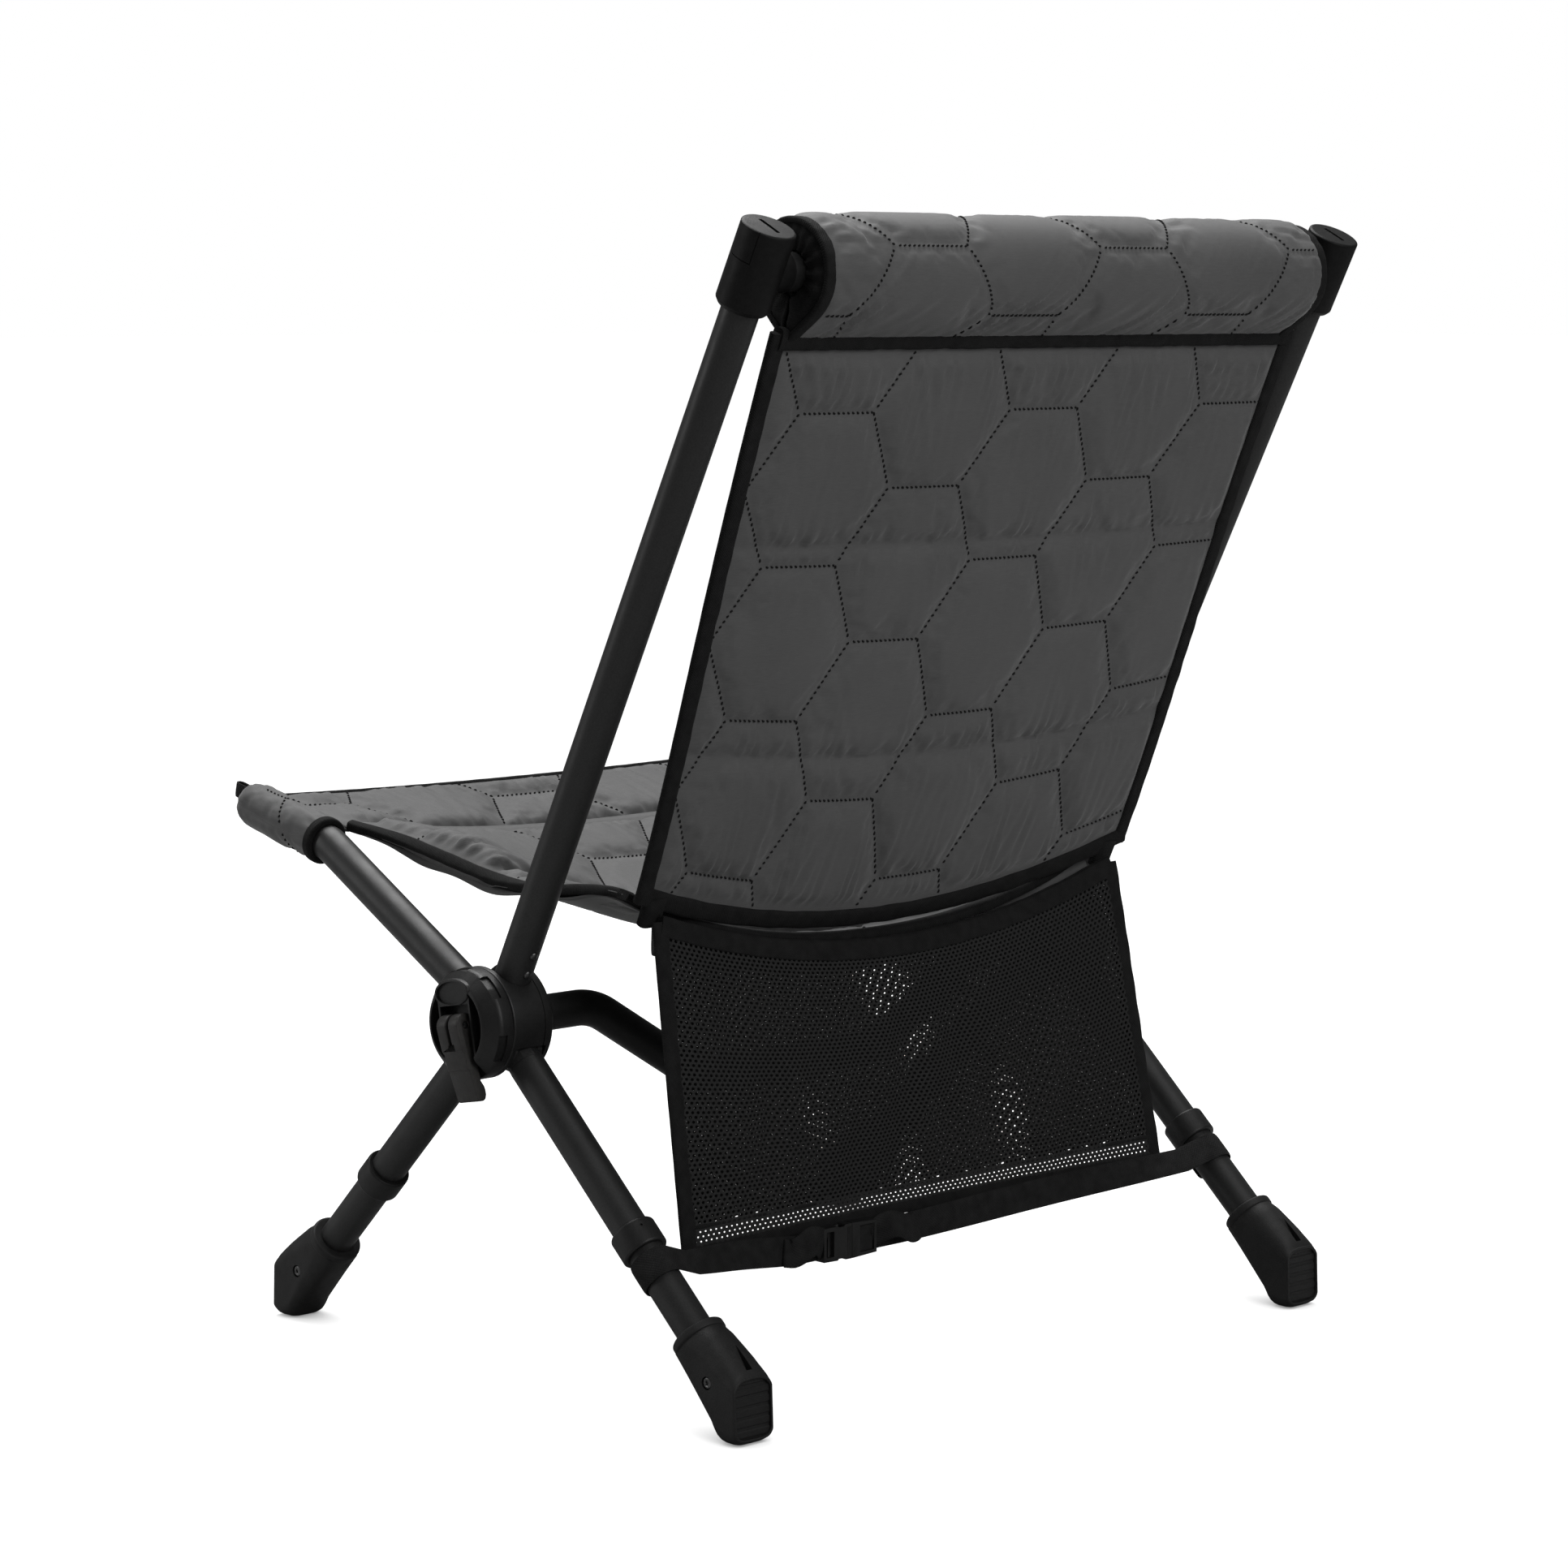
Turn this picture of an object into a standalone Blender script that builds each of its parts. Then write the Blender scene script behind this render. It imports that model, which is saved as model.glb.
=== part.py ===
"""Folding camping chair with a quilted sling, modelled in metres, +Z up.

The sitter faces -Y. X runs across the chair and the left side is +X. The origin is on the floor, under
the middle of the chair. Each side is an X of four 25 mm tubes whose axes lie in one upright plane and
meet at a round hub. The uprights and front legs are fixed in the hubs. The seat poles and the rear legs
turn on pins inside the hubs, so the chair folds flat. Directions in a side plane are angles from
straight ahead (-Y), turning up towards +Z.
"""
from math import cos, pi, radians, sin

import bmesh
import bpy
from mathutils import Matrix, Vector

MM = 0.001

# Frame
HALF_SPAN = 271 * MM          # centre plane of the chair to a side plane
HUB_Y = 3.4 * MM
HUB_Z = 243 * MM
UPRIGHT_ANGLE = 117.0
SEAT_ANGLE = 29.0
FRONT_LEG_ANGLE = -44.7
REAR_LEG_ANGLE = 222.0
SEAT_FOLD = 84.0              # travel of the seat poles, towards the uprights
LEG_FOLD = 86.0               # travel of the rear legs, towards the front legs

# Tubes
TUBE_R = 12.5 * MM
TUBE_WALL = 1.5 * MM
TUBE_SIDES = 18
SPIGOT_R = 10.7 * MM
FIT_R = 12.8 * MM             # bore that takes a tube
GAP = 0.3 * MM

# Hub
HUB_R = 38 * MM
HOUSING_IN = -17 * MM         # inner and outer faces of the housing, from the side plane
HOUSING_OUT = 16.8 * MM
CAP_BASE = 17.1 * MM
CAP_FACE = 37.0 * MM
SOCKET_START = 20 * MM        # where a fixed tube starts, from the hub centre
PIVOT_R = 26 * MM             # hub centre to a folding tube's pin
EYE_R = 12.4 * MM
PIN_R = 4.0 * MM
PIN_HOLE_R = 4.35 * MM
CAVITY_HALF = 12.8 * MM
LUG_END = 41 * MM
HUB_SIDES = 36

# Cam lever
LEVER_TILT = 11.0             # blade leans back from straight down
LEVER_PIN_X = 36.5 * MM
LEVER_PIN_R = 2.0 * MM
LEVER_PIN_HOLE_R = 2.35 * MM
LEVER_WIDTH = 22 * MM
LEVER_LENGTH = 52 * MM
KNUCKLE_R = 8 * MM
EYE_HALF = 1.2 * MM           # half thickness of the bolt's flat eye
RECESS_FLOOR = 27.5 * MM
RECESS_TOP = 14.3 * MM
RECESS_HALF = 15 * MM

# Uprights, top caps and cross tubes
UPRIGHT_END = 585 * MM
TOP_CAP_START = 537 * MM
TOP_CAP_END = 593 * MM
TOP_CAP_R = 18 * MM
TOP_BAR_AT = 562 * MM
RIVETS_AT = (45 * MM, 60 * MM)
CROSSBAR_DROP = 62 * MM

# Legs and feet
COLLAR_HEIGHT = 60 * MM       # height of a foot's collar above the floor
TUBE_PAST_COLLAR = 40 * MM
SCREW_PAST_COLLAR = 33 * MM
RING_BEFORE_COLLAR = 80 * MM
FOOT_HALF_WIDTH = 18 * MM

# Seat poles
BEND_AT = 212 * MM
NOSE_ANGLE = 13.0
NOSE_LENGTH = 100 * MM
POCKET_R = 16.5 * MM

# Fabric, as stand-in solids
BACK_HALF_WIDTH = 242 * MM
SEAT_HALF_WIDTH = 236 * MM
POCKET_HALF_WIDTH = 228 * MM
BOLSTER_R = 36.5 * MM
BOLSTER_HALF = 236 * MM

# Rear strap
WEB_HEIGHT = 20 * MM
WEB_THICK = 1.6 * MM
STRAP_Y = 160 * MM
BUCKLE_X = 97 * MM            # parting line of the buckle halves
BUCKLE_Z = 91 * MM
PLUG_WEB_END = 23.2 * MM      # webbing's end inside the plug, from the parting line
LEVEL_WEB = 30 * MM           # level stretch of webbing beside the buckle

SIDES = (("left", 1), ("right", -1))


# ---------------------------------------------------------------- helpers
def direction(angle):
    """Unit vector in a side plane."""
    return Vector((0, -cos(radians(angle)), sin(radians(angle))))


def spot(angle, distance, x=0.0):
    """Point at a distance from the hub centre along an angle, x being outward from the side plane."""
    return Vector((HALF_SPAN + x, HUB_Y, HUB_Z)) + direction(angle) * distance


def material(name, colour, roughness, metallic=0.0):
    made = bpy.data.materials.get(name)
    if made:
        return made
    made = bpy.data.materials.new(name)
    made.use_nodes = True
    shader = made.node_tree.nodes["Principled BSDF"]
    shader.inputs["Base Color"].default_value = (*colour, 1)
    shader.inputs["Roughness"].default_value = roughness
    shader.inputs["Metallic"].default_value = metallic
    return made


def tube_paint():
    return material("tube_paint", (0.022, 0.022, 0.024), 0.38, 0.6)


def moulded_plastic():
    return material("moulded_plastic", (0.012, 0.012, 0.013), 0.45)


def lever_plastic():
    return material("lever_plastic", (0.035, 0.031, 0.032), 0.5)


def foot_rubber():
    return material("foot_rubber", (0.014, 0.014, 0.015), 0.62)


def bare_steel():
    return material("steel", (0.35, 0.35, 0.36), 0.3, 1.0)


def grey_fabric():
    return material("grey_fabric", (0.06, 0.06, 0.06), 0.75)


def black_mesh():
    return material("black_mesh", (0.008, 0.008, 0.008), 0.8)


def black_webbing():
    return material("black_webbing", (0.006, 0.006, 0.006), 0.85)


def perpendicular_pair(axis):
    helper = Vector((1, 0, 0)) if abs(axis.x) < 0.9 else Vector((0, 1, 0))
    first = axis.cross(helper).normalized()
    return first, axis.cross(first).normalized()


def circle(centre, axis, radius, sides):
    first, second = perpendicular_pair(axis)
    turn = 2 * pi / sides
    return [centre + (first * cos(turn * i) + second * sin(turn * i)) * radius for i in range(sides)]


def skin(rings, closed):
    """Mesh through rings of equal length: a closed loop of rings, or a stack with flat ends."""
    mesh = bmesh.new()
    rows = [[mesh.verts.new(point) for point in ring] for ring in rings]
    count = len(rows[0])
    pairs = list(zip(rows, rows[1:]))
    if closed:
        pairs.append((rows[-1], rows[0]))
    for lower, upper in pairs:
        for i in range(count):
            j = (i + 1) % count
            mesh.faces.new((lower[i], lower[j], upper[j], upper[i]))
    if not closed:
        mesh.faces.new(rows[0][::-1])
        mesh.faces.new(rows[-1])
    bmesh.ops.recalc_face_normals(mesh, faces=mesh.faces)
    if mesh.calc_volume(signed=True) < 0:
        bmesh.ops.reverse_faces(mesh, faces=mesh.faces)
    return mesh


def turned(start, axis, profile, sides=TUBE_SIDES, closed=False):
    """Turned shape. profile is (radius, distance along the axis); closed makes a ring-like body."""
    axis = axis.normalized()
    return skin([circle(start + axis * along, axis, radius, sides) for radius, along in profile], closed)


def pipe(path, outer, inner, sides=TUBE_SIDES):
    """Hollow tube along a path that lies in one plane."""
    normal = Vector((1, 0, 0))
    if abs((path[-1] - path[0]).normalized().x) > 0.5:
        normal = Vector((0, 1, 0))
    stations = []
    for i, point in enumerate(path):
        ahead = path[min(i + 1, len(path) - 1)]
        behind = path[max(i - 1, 0)]
        tangent = (ahead - behind).normalized()
        stations.append((point, normal, tangent.cross(normal).normalized()))
    turn = 2 * pi / sides

    def ring(station, radius):
        point, first, second = station
        return [point + (first * cos(turn * i) + second * sin(turn * i)) * radius for i in range(sides)]

    if inner <= 0:
        return skin([ring(station, outer) for station in stations], closed=False)
    outside = [ring(station, outer) for station in stations]
    inside = [ring(station, inner) for station in reversed(stations)]
    return skin(outside + inside, closed=True)


def rounded_path(corners, radius, steps=3):
    """Path through the corners, each inner corner rounded by an arc."""
    path = [corners[0]]
    for before, corner, after in zip(corners, corners[1:], corners[2:]):
        back = (before - corner).normalized()
        ahead = (after - corner).normalized()
        half = back.angle(ahead) / 2
        reach = radius / (sin(half) / cos(half))
        centre = corner + (back + ahead).normalized() * (radius / sin(half))
        start = corner + back * reach - centre
        end = corner + ahead * reach - centre
        axis = start.cross(end).normalized()
        for i in range(steps + 1):
            path.append(centre + Matrix.Rotation(start.angle(end) * i / steps, 3, axis) @ start)
    path.append(corners[-1])
    return path


def prism(outline, low, high, across=Vector((1, 0, 0))):
    """Outline (points of a plane) extruded from low to high along a direction."""
    return skin([[point + across * low for point in outline], [point + across * high for point in outline]],
                closed=False)


def side_outline(points):
    """Points (y, z) in millimetres from the hub's y and the floor, as an outline in the YZ plane."""
    return [Vector((0, HUB_Y + y * MM, z * MM)) for y, z in points]


def joined(*meshes):
    """One mesh holding several separate shapes, for a cutter with several parts."""
    whole = meshes[0]
    for extra in meshes[1:]:
        data = bpy.data.meshes.new("extra")
        extra.to_mesh(data)
        extra.free()
        whole.from_mesh(data)
        bpy.data.meshes.remove(data)
    return whole


def place(name, mesh, finish, side=1, origin=None, sharp=35):
    """Object from a mesh made for the left side, mirrored across X for the right side."""
    if side < 0:
        bmesh.ops.scale(mesh, vec=(-1, 1, 1), verts=mesh.verts)
        bmesh.ops.reverse_faces(mesh, faces=mesh.faces)
    origin = Vector(origin) if origin else Vector((HALF_SPAN, HUB_Y, HUB_Z))
    origin = Vector((origin.x * side, origin.y, origin.z))
    bmesh.ops.translate(mesh, vec=-origin, verts=mesh.verts)
    data = bpy.data.meshes.new(name)
    mesh.to_mesh(data)
    mesh.free()
    data.shade_smooth()
    data.set_sharp_from_angle(angle=radians(sharp))
    made = bpy.data.objects.new(name, data)
    made.location = origin
    bpy.context.scene.collection.objects.link(made)
    if finish:
        data.materials.append(finish)
    return made


def tool(name, mesh, side):
    """Hidden cutter or filler for a Boolean."""
    made = place(name, mesh, None, side)
    made.hide_render = True
    made.display_type = "WIRE"
    return made


def boolean(target, other, operation="DIFFERENCE"):
    step = target.modifiers.new(other.name, "BOOLEAN")
    step.operation = operation
    step.solver = "EXACT"
    step.object = other


def bevelled(target, width, segments=2, angle=30):
    step = target.modifiers.new("edges", "BEVEL")
    step.width = width
    step.segments = segments
    step.limit_method = "ANGLE"
    step.angle_limit = radians(angle)


# ---------------------------------------------------------------- hub
def sweep_outline(start, stop, wall_angle):
    """Outline of the space that a folding tube sweeps inside the hub, up to the fixed tube's axis."""
    pivot = spot(start, PIVOT_R)
    reach = 52 * MM
    clear = EYE_R + 0.5 * MM
    edge = pivot + direction(start - 90) * clear
    outline = [edge, edge + direction(start) * reach]
    steps = 6
    for i in range(steps + 1):
        outline.append(spot(start + (wall_angle - start) * i / steps, reach))
    outline.append(spot(wall_angle, SOCKET_START - GAP))
    turn_from = stop + 90
    turn_to = start + 270
    for i in range(steps):
        outline.append(pivot + direction(turn_from + (turn_to - turn_from) * i / steps) * clear)
    return [point - Vector((HALF_SPAN, 0, 0)) for point in outline]


def hub_housing(name, side):
    centre = Vector((HALF_SPAN, HUB_Y, HUB_Z))
    outward = Vector((1, 0, 0))
    body = place("hub_housing_" + name,
                 turned(centre, outward, ((36 * MM, HOUSING_IN), (HUB_R, HOUSING_IN + 2 * MM),
                                          (HUB_R, HOUSING_OUT)), HUB_SIDES),
                 moulded_plastic(), side)
    low = HALF_SPAN - CAVITY_HALF
    high = HALF_SPAN + CAVITY_HALF
    seat_sweep = sweep_outline(SEAT_ANGLE, SEAT_ANGLE + SEAT_FOLD, UPRIGHT_ANGLE)
    leg_sweep = sweep_outline(REAR_LEG_ANGLE, REAR_LEG_ANGLE + LEG_FOLD, FRONT_LEG_ANGLE + 360)
    seat_space = prism(seat_sweep, low, high)
    leg_space = prism(leg_sweep, low, high)
    boolean(body, tool("seat_space_" + name, seat_space, side))
    boolean(body, tool("leg_space_" + name, leg_space, side))
    fixed_tubes = (("upright", UPRIGHT_ANGLE, 70 * MM), ("front", FRONT_LEG_ANGLE, 52 * MM))
    for tag, angle, spigot_end in fixed_tubes:
        socket = turned(spot(angle, 0), direction(angle), ((FIT_R, SOCKET_START - GAP), (FIT_R, 50 * MM)))
        spigot = turned(spot(angle, 0), direction(angle), ((SPIGOT_R, 9 * MM), (SPIGOT_R, spigot_end)))
        boolean(body, tool(tag + "_socket_" + name, socket, side))
        boolean(body, tool(tag + "_spigot_" + name, spigot, side), "UNION")
    through = [turned(spot(angle, PIVOT_R), outward, ((PIN_HOLE_R, -20 * MM), (PIN_HOLE_R, 20 * MM)), 12)
               for angle in (SEAT_ANGLE, REAR_LEG_ANGLE)]
    through.append(turned(centre, outward, ((PIN_HOLE_R, -20 * MM), (PIN_HOLE_R, 20 * MM)), 12))
    boolean(body, tool("pin_holes_" + name, joined(*through), side))
    boolean(body, tool("rivet_holes_" + name, rivet_holes(), side))


def rivet_line(along):
    """Start and direction of a rivet: on the upright's axis, pointing back and square to the tube."""
    return spot(UPRIGHT_ANGLE, along), direction(UPRIGHT_ANGLE + 90)


def rivet_holes():
    holes = []
    for along in RIVETS_AT:
        start, back = rivet_line(along)
        holes.append(turned(start, back, ((1.9 * MM, 5 * MM), (1.9 * MM, 16 * MM)), 12))
    return joined(*holes)


def rivets(name, side):
    for number, along in enumerate(RIVETS_AT, 1):
        start, back = rivet_line(along)
        profile = ((1.5 * MM, 6 * MM), (1.5 * MM, TUBE_R + GAP), (3.0 * MM, TUBE_R + GAP),
                   (2.6 * MM, TUBE_R + 1.2 * MM), (1.2 * MM, TUBE_R + 1.7 * MM))
        place("upright_rivet_%s_%d" % (name, number), turned(start, back, profile, 12), bare_steel(), side,
              origin=start + back * TUBE_R)


def lever_frame():
    """Axes of the lever: along the blade, and along its pin."""
    along = direction(270 - LEVER_TILT)
    return along, Vector((1, 0, 0)).cross(along)


def lever_outline(points):
    """Points (outward x, distance down the blade) in millimetres, from the hub centre."""
    along, _ = lever_frame()
    centre = Vector((HALF_SPAN, HUB_Y, HUB_Z))
    return [centre + Vector((x * MM, 0, 0)) + along * (down * MM) for x, down in points]


def hub_cap(name, side):
    centre = Vector((HALF_SPAN, HUB_Y, HUB_Z))
    outward = Vector((1, 0, 0))
    profile = ((HUB_R, CAP_BASE), (HUB_R, 25.5 * MM), (37.3 * MM, 27.5 * MM), (29 * MM, 36 * MM),
               (27 * MM, CAP_FACE))
    cap = place("hub_cap_" + name, turned(centre, outward, profile, HUB_SIDES), moulded_plastic(), side)
    _, pin_axis = lever_frame()
    floor = RECESS_FLOOR / MM
    top = -RECESS_TOP / MM
    recess = prism(lever_outline(((floor, top), (floor, 50), (45, 50), (45, top))), -RECESS_HALF, RECESS_HALF,
                   pin_axis)
    boolean(cap, tool("lever_recess_" + name, recess, side))
    bore = turned(centre, outward, ((PIN_HOLE_R, 10 * MM), (PIN_HOLE_R, 30 * MM)), 16)
    boolean(cap, tool("bolt_bore_" + name, bore, side))
    badge_centre = centre - lever_frame()[0] * 21 * MM
    badge = turned(badge_centre, outward, ((5.5 * MM, CAP_FACE - 1.2 * MM), (5.5 * MM, 45 * MM)), 24)
    boolean(cap, tool("badge_recess_" + name, badge, side))


def cam_bolt(name, side):
    centre = Vector((HALF_SPAN, HUB_Y, HUB_Z))
    outward = Vector((1, 0, 0))
    _, pin_axis = lever_frame()
    bolt = place("cam_bolt_" + name, turned(centre, outward, ((3.2 * MM, -31 * MM), (PIN_R, -30 * MM),
                                                              (PIN_R, RECESS_FLOOR - GAP)), 16),
                 bare_steel(), side)
    eye_centre = centre + outward * LEVER_PIN_X
    eye = turned(eye_centre, pin_axis, ((5 * MM, -EYE_HALF), (5 * MM, EYE_HALF)), 20)
    root = (RECESS_FLOOR - 2 * MM) / MM
    reach = LEVER_PIN_X / MM
    neck = prism(lever_outline(((root, -3.6), (root, 3.6), (reach, 3.6), (reach, -3.6))), -EYE_HALF, EYE_HALF,
                 pin_axis)
    boolean(bolt, tool("bolt_neck_" + name, neck, side), "UNION")
    boolean(bolt, tool("bolt_eye_" + name, eye, side), "UNION")
    hole = turned(eye_centre, pin_axis, ((LEVER_PIN_HOLE_R, -6 * MM), (LEVER_PIN_HOLE_R, 6 * MM)), 16)
    boolean(bolt, tool("eye_hole_" + name, hole, side))
    pin_half = LEVER_WIDTH / 2 - 0.6 * MM
    pin = turned(eye_centre, pin_axis, ((LEVER_PIN_R, -pin_half), (LEVER_PIN_R, pin_half)), 12)
    place("lever_pin_" + name, pin, bare_steel(), side, origin=eye_centre)
    nut = turned(centre, outward, ((6.6 * MM, -27 * MM), (6.6 * MM, -21 * MM)), 6)
    nut = place("bolt_nut_" + name, nut, bare_steel(), side)
    thread = turned(centre, outward, ((PIN_HOLE_R, -40 * MM), (PIN_HOLE_R, -10 * MM)), 16)
    boolean(nut, tool("nut_bore_" + name, thread, side))


def cam_lever(name, side):
    _, pin_axis = lever_frame()
    pin = Vector((HALF_SPAN + LEVER_PIN_X, HUB_Y, HUB_Z))
    middle = LEVER_PIN_X / MM
    knuckle = KNUCKLE_R / MM
    tip = LEVER_LENGTH / MM
    turns = [radians(degrees) for degrees in range(135, 361, 25)]
    rounding = [(middle + knuckle * cos(turn), knuckle * sin(turn)) for turn in turns]
    blade = ((41.8, 17), (40.6, 18.5), (39.6, 29), (38.4, 30.5), (34.2, tip - 0.6), (33.2, tip), (29.4, tip),
             (27, tip - 1.8), (26.4, tip - 4.5), (27.2, 42), (29.4, 38.5), (31, 20), (31.4, 9))
    outline = lever_outline(rounding + list(blade))
    lever = place("cam_lever_" + name, prism(outline, -LEVER_WIDTH / 2, LEVER_WIDTH / 2, pin_axis),
                  lever_plastic(), side, origin=pin)
    slot_half = EYE_HALF + 0.3 * MM
    slot = prism(lever_outline(((20, -12), (20, 10), (48, 10), (48, -12))), -slot_half, slot_half, pin_axis)
    hole = turned(pin, pin_axis, ((LEVER_PIN_HOLE_R, -12 * MM), (LEVER_PIN_HOLE_R, 12 * MM)), 16)
    boolean(lever, tool("lever_slot_" + name, slot, side))
    boolean(lever, tool("lever_hole_" + name, hole, side))


# ---------------------------------------------------------------- tubes
def straight_tube(name, side, angle, start, end, holes=None):
    path = [spot(angle, start), spot(angle, end)]
    tube = place(name, pipe(path, TUBE_R, TUBE_R - TUBE_WALL), tube_paint(), side)
    if holes:
        boolean(tube, tool("holes_" + name, holes, side))
    return tube


def top_cap(name, side):
    up = direction(UPRIGHT_ANGLE)
    base = spot(UPRIGHT_ANGLE, 0)
    profile = ((TOP_CAP_R - 1.5 * MM, TOP_CAP_END), (TOP_CAP_R, TOP_CAP_END - 1.5 * MM),
               (TOP_CAP_R, TOP_CAP_START + 1.5 * MM), (TOP_CAP_R - 1 * MM, TOP_CAP_START),
               (FIT_R, TOP_CAP_START), (FIT_R, UPRIGHT_END + GAP))
    cap = place("top_cap_" + name, turned(base, up, profile, 24), moulded_plastic(), side)
    inward = Vector((-1, 0, 0))
    boss = turned(spot(UPRIGHT_ANGLE, TOP_BAR_AT), inward,
                  ((13.5 * MM, 14.5 * MM), (13.5 * MM, 24 * MM), (SPIGOT_R, 24 * MM), (SPIGOT_R, 44 * MM)))
    boolean(cap, tool("cap_boss_" + name, boss, side), "UNION")
    across = Vector((1, 0, 0))
    back = direction(UPRIGHT_ANGLE + 90)
    top = base + up * (TOP_CAP_END - 1.2 * MM) - across * HALF_SPAN
    slot = prism([top + back * (8 * MM), top + back * (8 * MM) + up * (4 * MM),
                  top - back * (8 * MM) + up * (4 * MM), top - back * (8 * MM)],
                 HALF_SPAN - 1.6 * MM, HALF_SPAN + 1.6 * MM)
    boolean(cap, tool("cap_slot_" + name, slot, side))


def top_crossbar():
    end = HALF_SPAN - 24 * MM - GAP
    at = spot(UPRIGHT_ANGLE, TOP_BAR_AT)
    path = [Vector((end, at.y, at.z)), Vector((-end, at.y, at.z))]
    place("top_crossbar", pipe(path, TUBE_R, TUBE_R - TUBE_WALL), tube_paint(), origin=(0, at.y, at.z))


def crossbar():
    end = HALF_SPAN - 20.8 * MM
    low = HUB_Z - CROSSBAR_DROP
    half = [(end, HUB_Z), (188 * MM, HUB_Z), (88 * MM, low)]
    whole = half + [(-x, z) for x, z in reversed(half)]
    corners = [Vector((x, HUB_Y, z)) for x, z in whole]
    place("crossbar", pipe(rounded_path(corners, 50 * MM), TUBE_R, TUBE_R - TUBE_WALL), tube_paint(),
          origin=(0, HUB_Y, HUB_Z))


def crossbar_collar(name, side):
    centre = Vector((HALF_SPAN, HUB_Y, HUB_Z))
    profile = ((PIN_HOLE_R, 17.3 * MM), (17.5 * MM, 17.3 * MM), (17.5 * MM, 22 * MM), (15.8 * MM, 24 * MM),
               (15.8 * MM, 35 * MM), (14.8 * MM, 37 * MM), (FIT_R, 37 * MM), (FIT_R, 20.5 * MM),
               (PIN_HOLE_R, 20.5 * MM))
    place("crossbar_collar_" + name, turned(centre, Vector((-1, 0, 0)), profile, closed=True),
          moulded_plastic(), side)


def seat_pole_corners():
    bend = spot(SEAT_ANGLE, BEND_AT)
    return [spot(SEAT_ANGLE, LUG_END + GAP), bend, bend + direction(NOSE_ANGLE) * NOSE_LENGTH]


def lug(name, side, angle, origin):
    """Folding tube's hub end: an eye on the pin, a round neck and a spigot inside the tube."""
    pivot = spot(angle, PIVOT_R)
    away = direction(angle)
    neck = turned(pivot, away, ((EYE_R, 0), (EYE_R, LUG_END - PIVOT_R), (SPIGOT_R, LUG_END - PIVOT_R),
                                (SPIGOT_R, 66 * MM - PIVOT_R)))
    body = place(name, neck, tube_paint(), side, origin=origin)
    across = Vector((1, 0, 0))
    eye = turned(pivot, across, ((EYE_R, -EYE_R), (EYE_R, EYE_R)), 20)
    boolean(body, tool("eye_" + name, eye, side), "UNION")
    hole = turned(pivot, across, ((PIN_HOLE_R, -20 * MM), (PIN_HOLE_R, 20 * MM)), 12)
    boolean(body, tool("hole_" + name, hole, side))
    pin = turned(pivot, across, ((PIN_R, HOUSING_IN + GAP), (PIN_R, HOUSING_OUT - GAP)), 12)
    place(name.replace("lug", "pin"), pin, bare_steel(), side, origin=pivot)


def seat_pole(name, side):
    pivot = spot(SEAT_ANGLE, PIVOT_R)
    path = rounded_path(seat_pole_corners(), 60 * MM)
    place("seat_pole_" + name, pipe(path, TUBE_R, TUBE_R - TUBE_WALL), tube_paint(), side, origin=pivot)
    lug("seat_lug_" + name, side, SEAT_ANGLE, pivot)


def corner_pocket(name, side):
    """Sewn pocket over the end of a seat pole, with a webbing tab at its nose."""
    pivot = spot(SEAT_ANGLE, PIVOT_R)
    start, bend, tip = seat_pole_corners()
    ahead = direction(NOSE_ANGLE)
    mouth = bend - direction(SEAT_ANGLE) * (12 * MM)
    nose = rounded_path([mouth, bend, tip + ahead * (6 * MM)], 60 * MM)
    pocket = place("corner_pocket_" + name, pipe(nose, POCKET_R, 0), grey_fabric(), side, origin=pivot)
    inside = rounded_path([start, bend, tip + ahead * (2 * MM)], 60 * MM)
    above = direction(NOSE_ANGLE + 90)
    root = tip - Vector((HALF_SPAN, 0, 0))
    section = ((5, 7), (16, 7), (16, 3), (5, 3))
    corners = [root + ahead * (along * MM) + above * (up * MM) for along, up in section]
    tab = prism(corners, HALF_SPAN - 8 * MM, HALF_SPAN + 8 * MM)
    boolean(pocket, tool("pocket_tab_" + name, tab, side), "UNION")
    boolean(pocket, tool("pocket_inside_" + name, pipe(inside, FIT_R + 0.2 * MM, 0), side))


# ---------------------------------------------------------------- legs and feet
def collar_distance(angle):
    """Distance from the hub centre to a foot's collar along a leg."""
    return (HUB_Z - COLLAR_HEIGHT) / abs(sin(radians(angle)))


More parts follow.
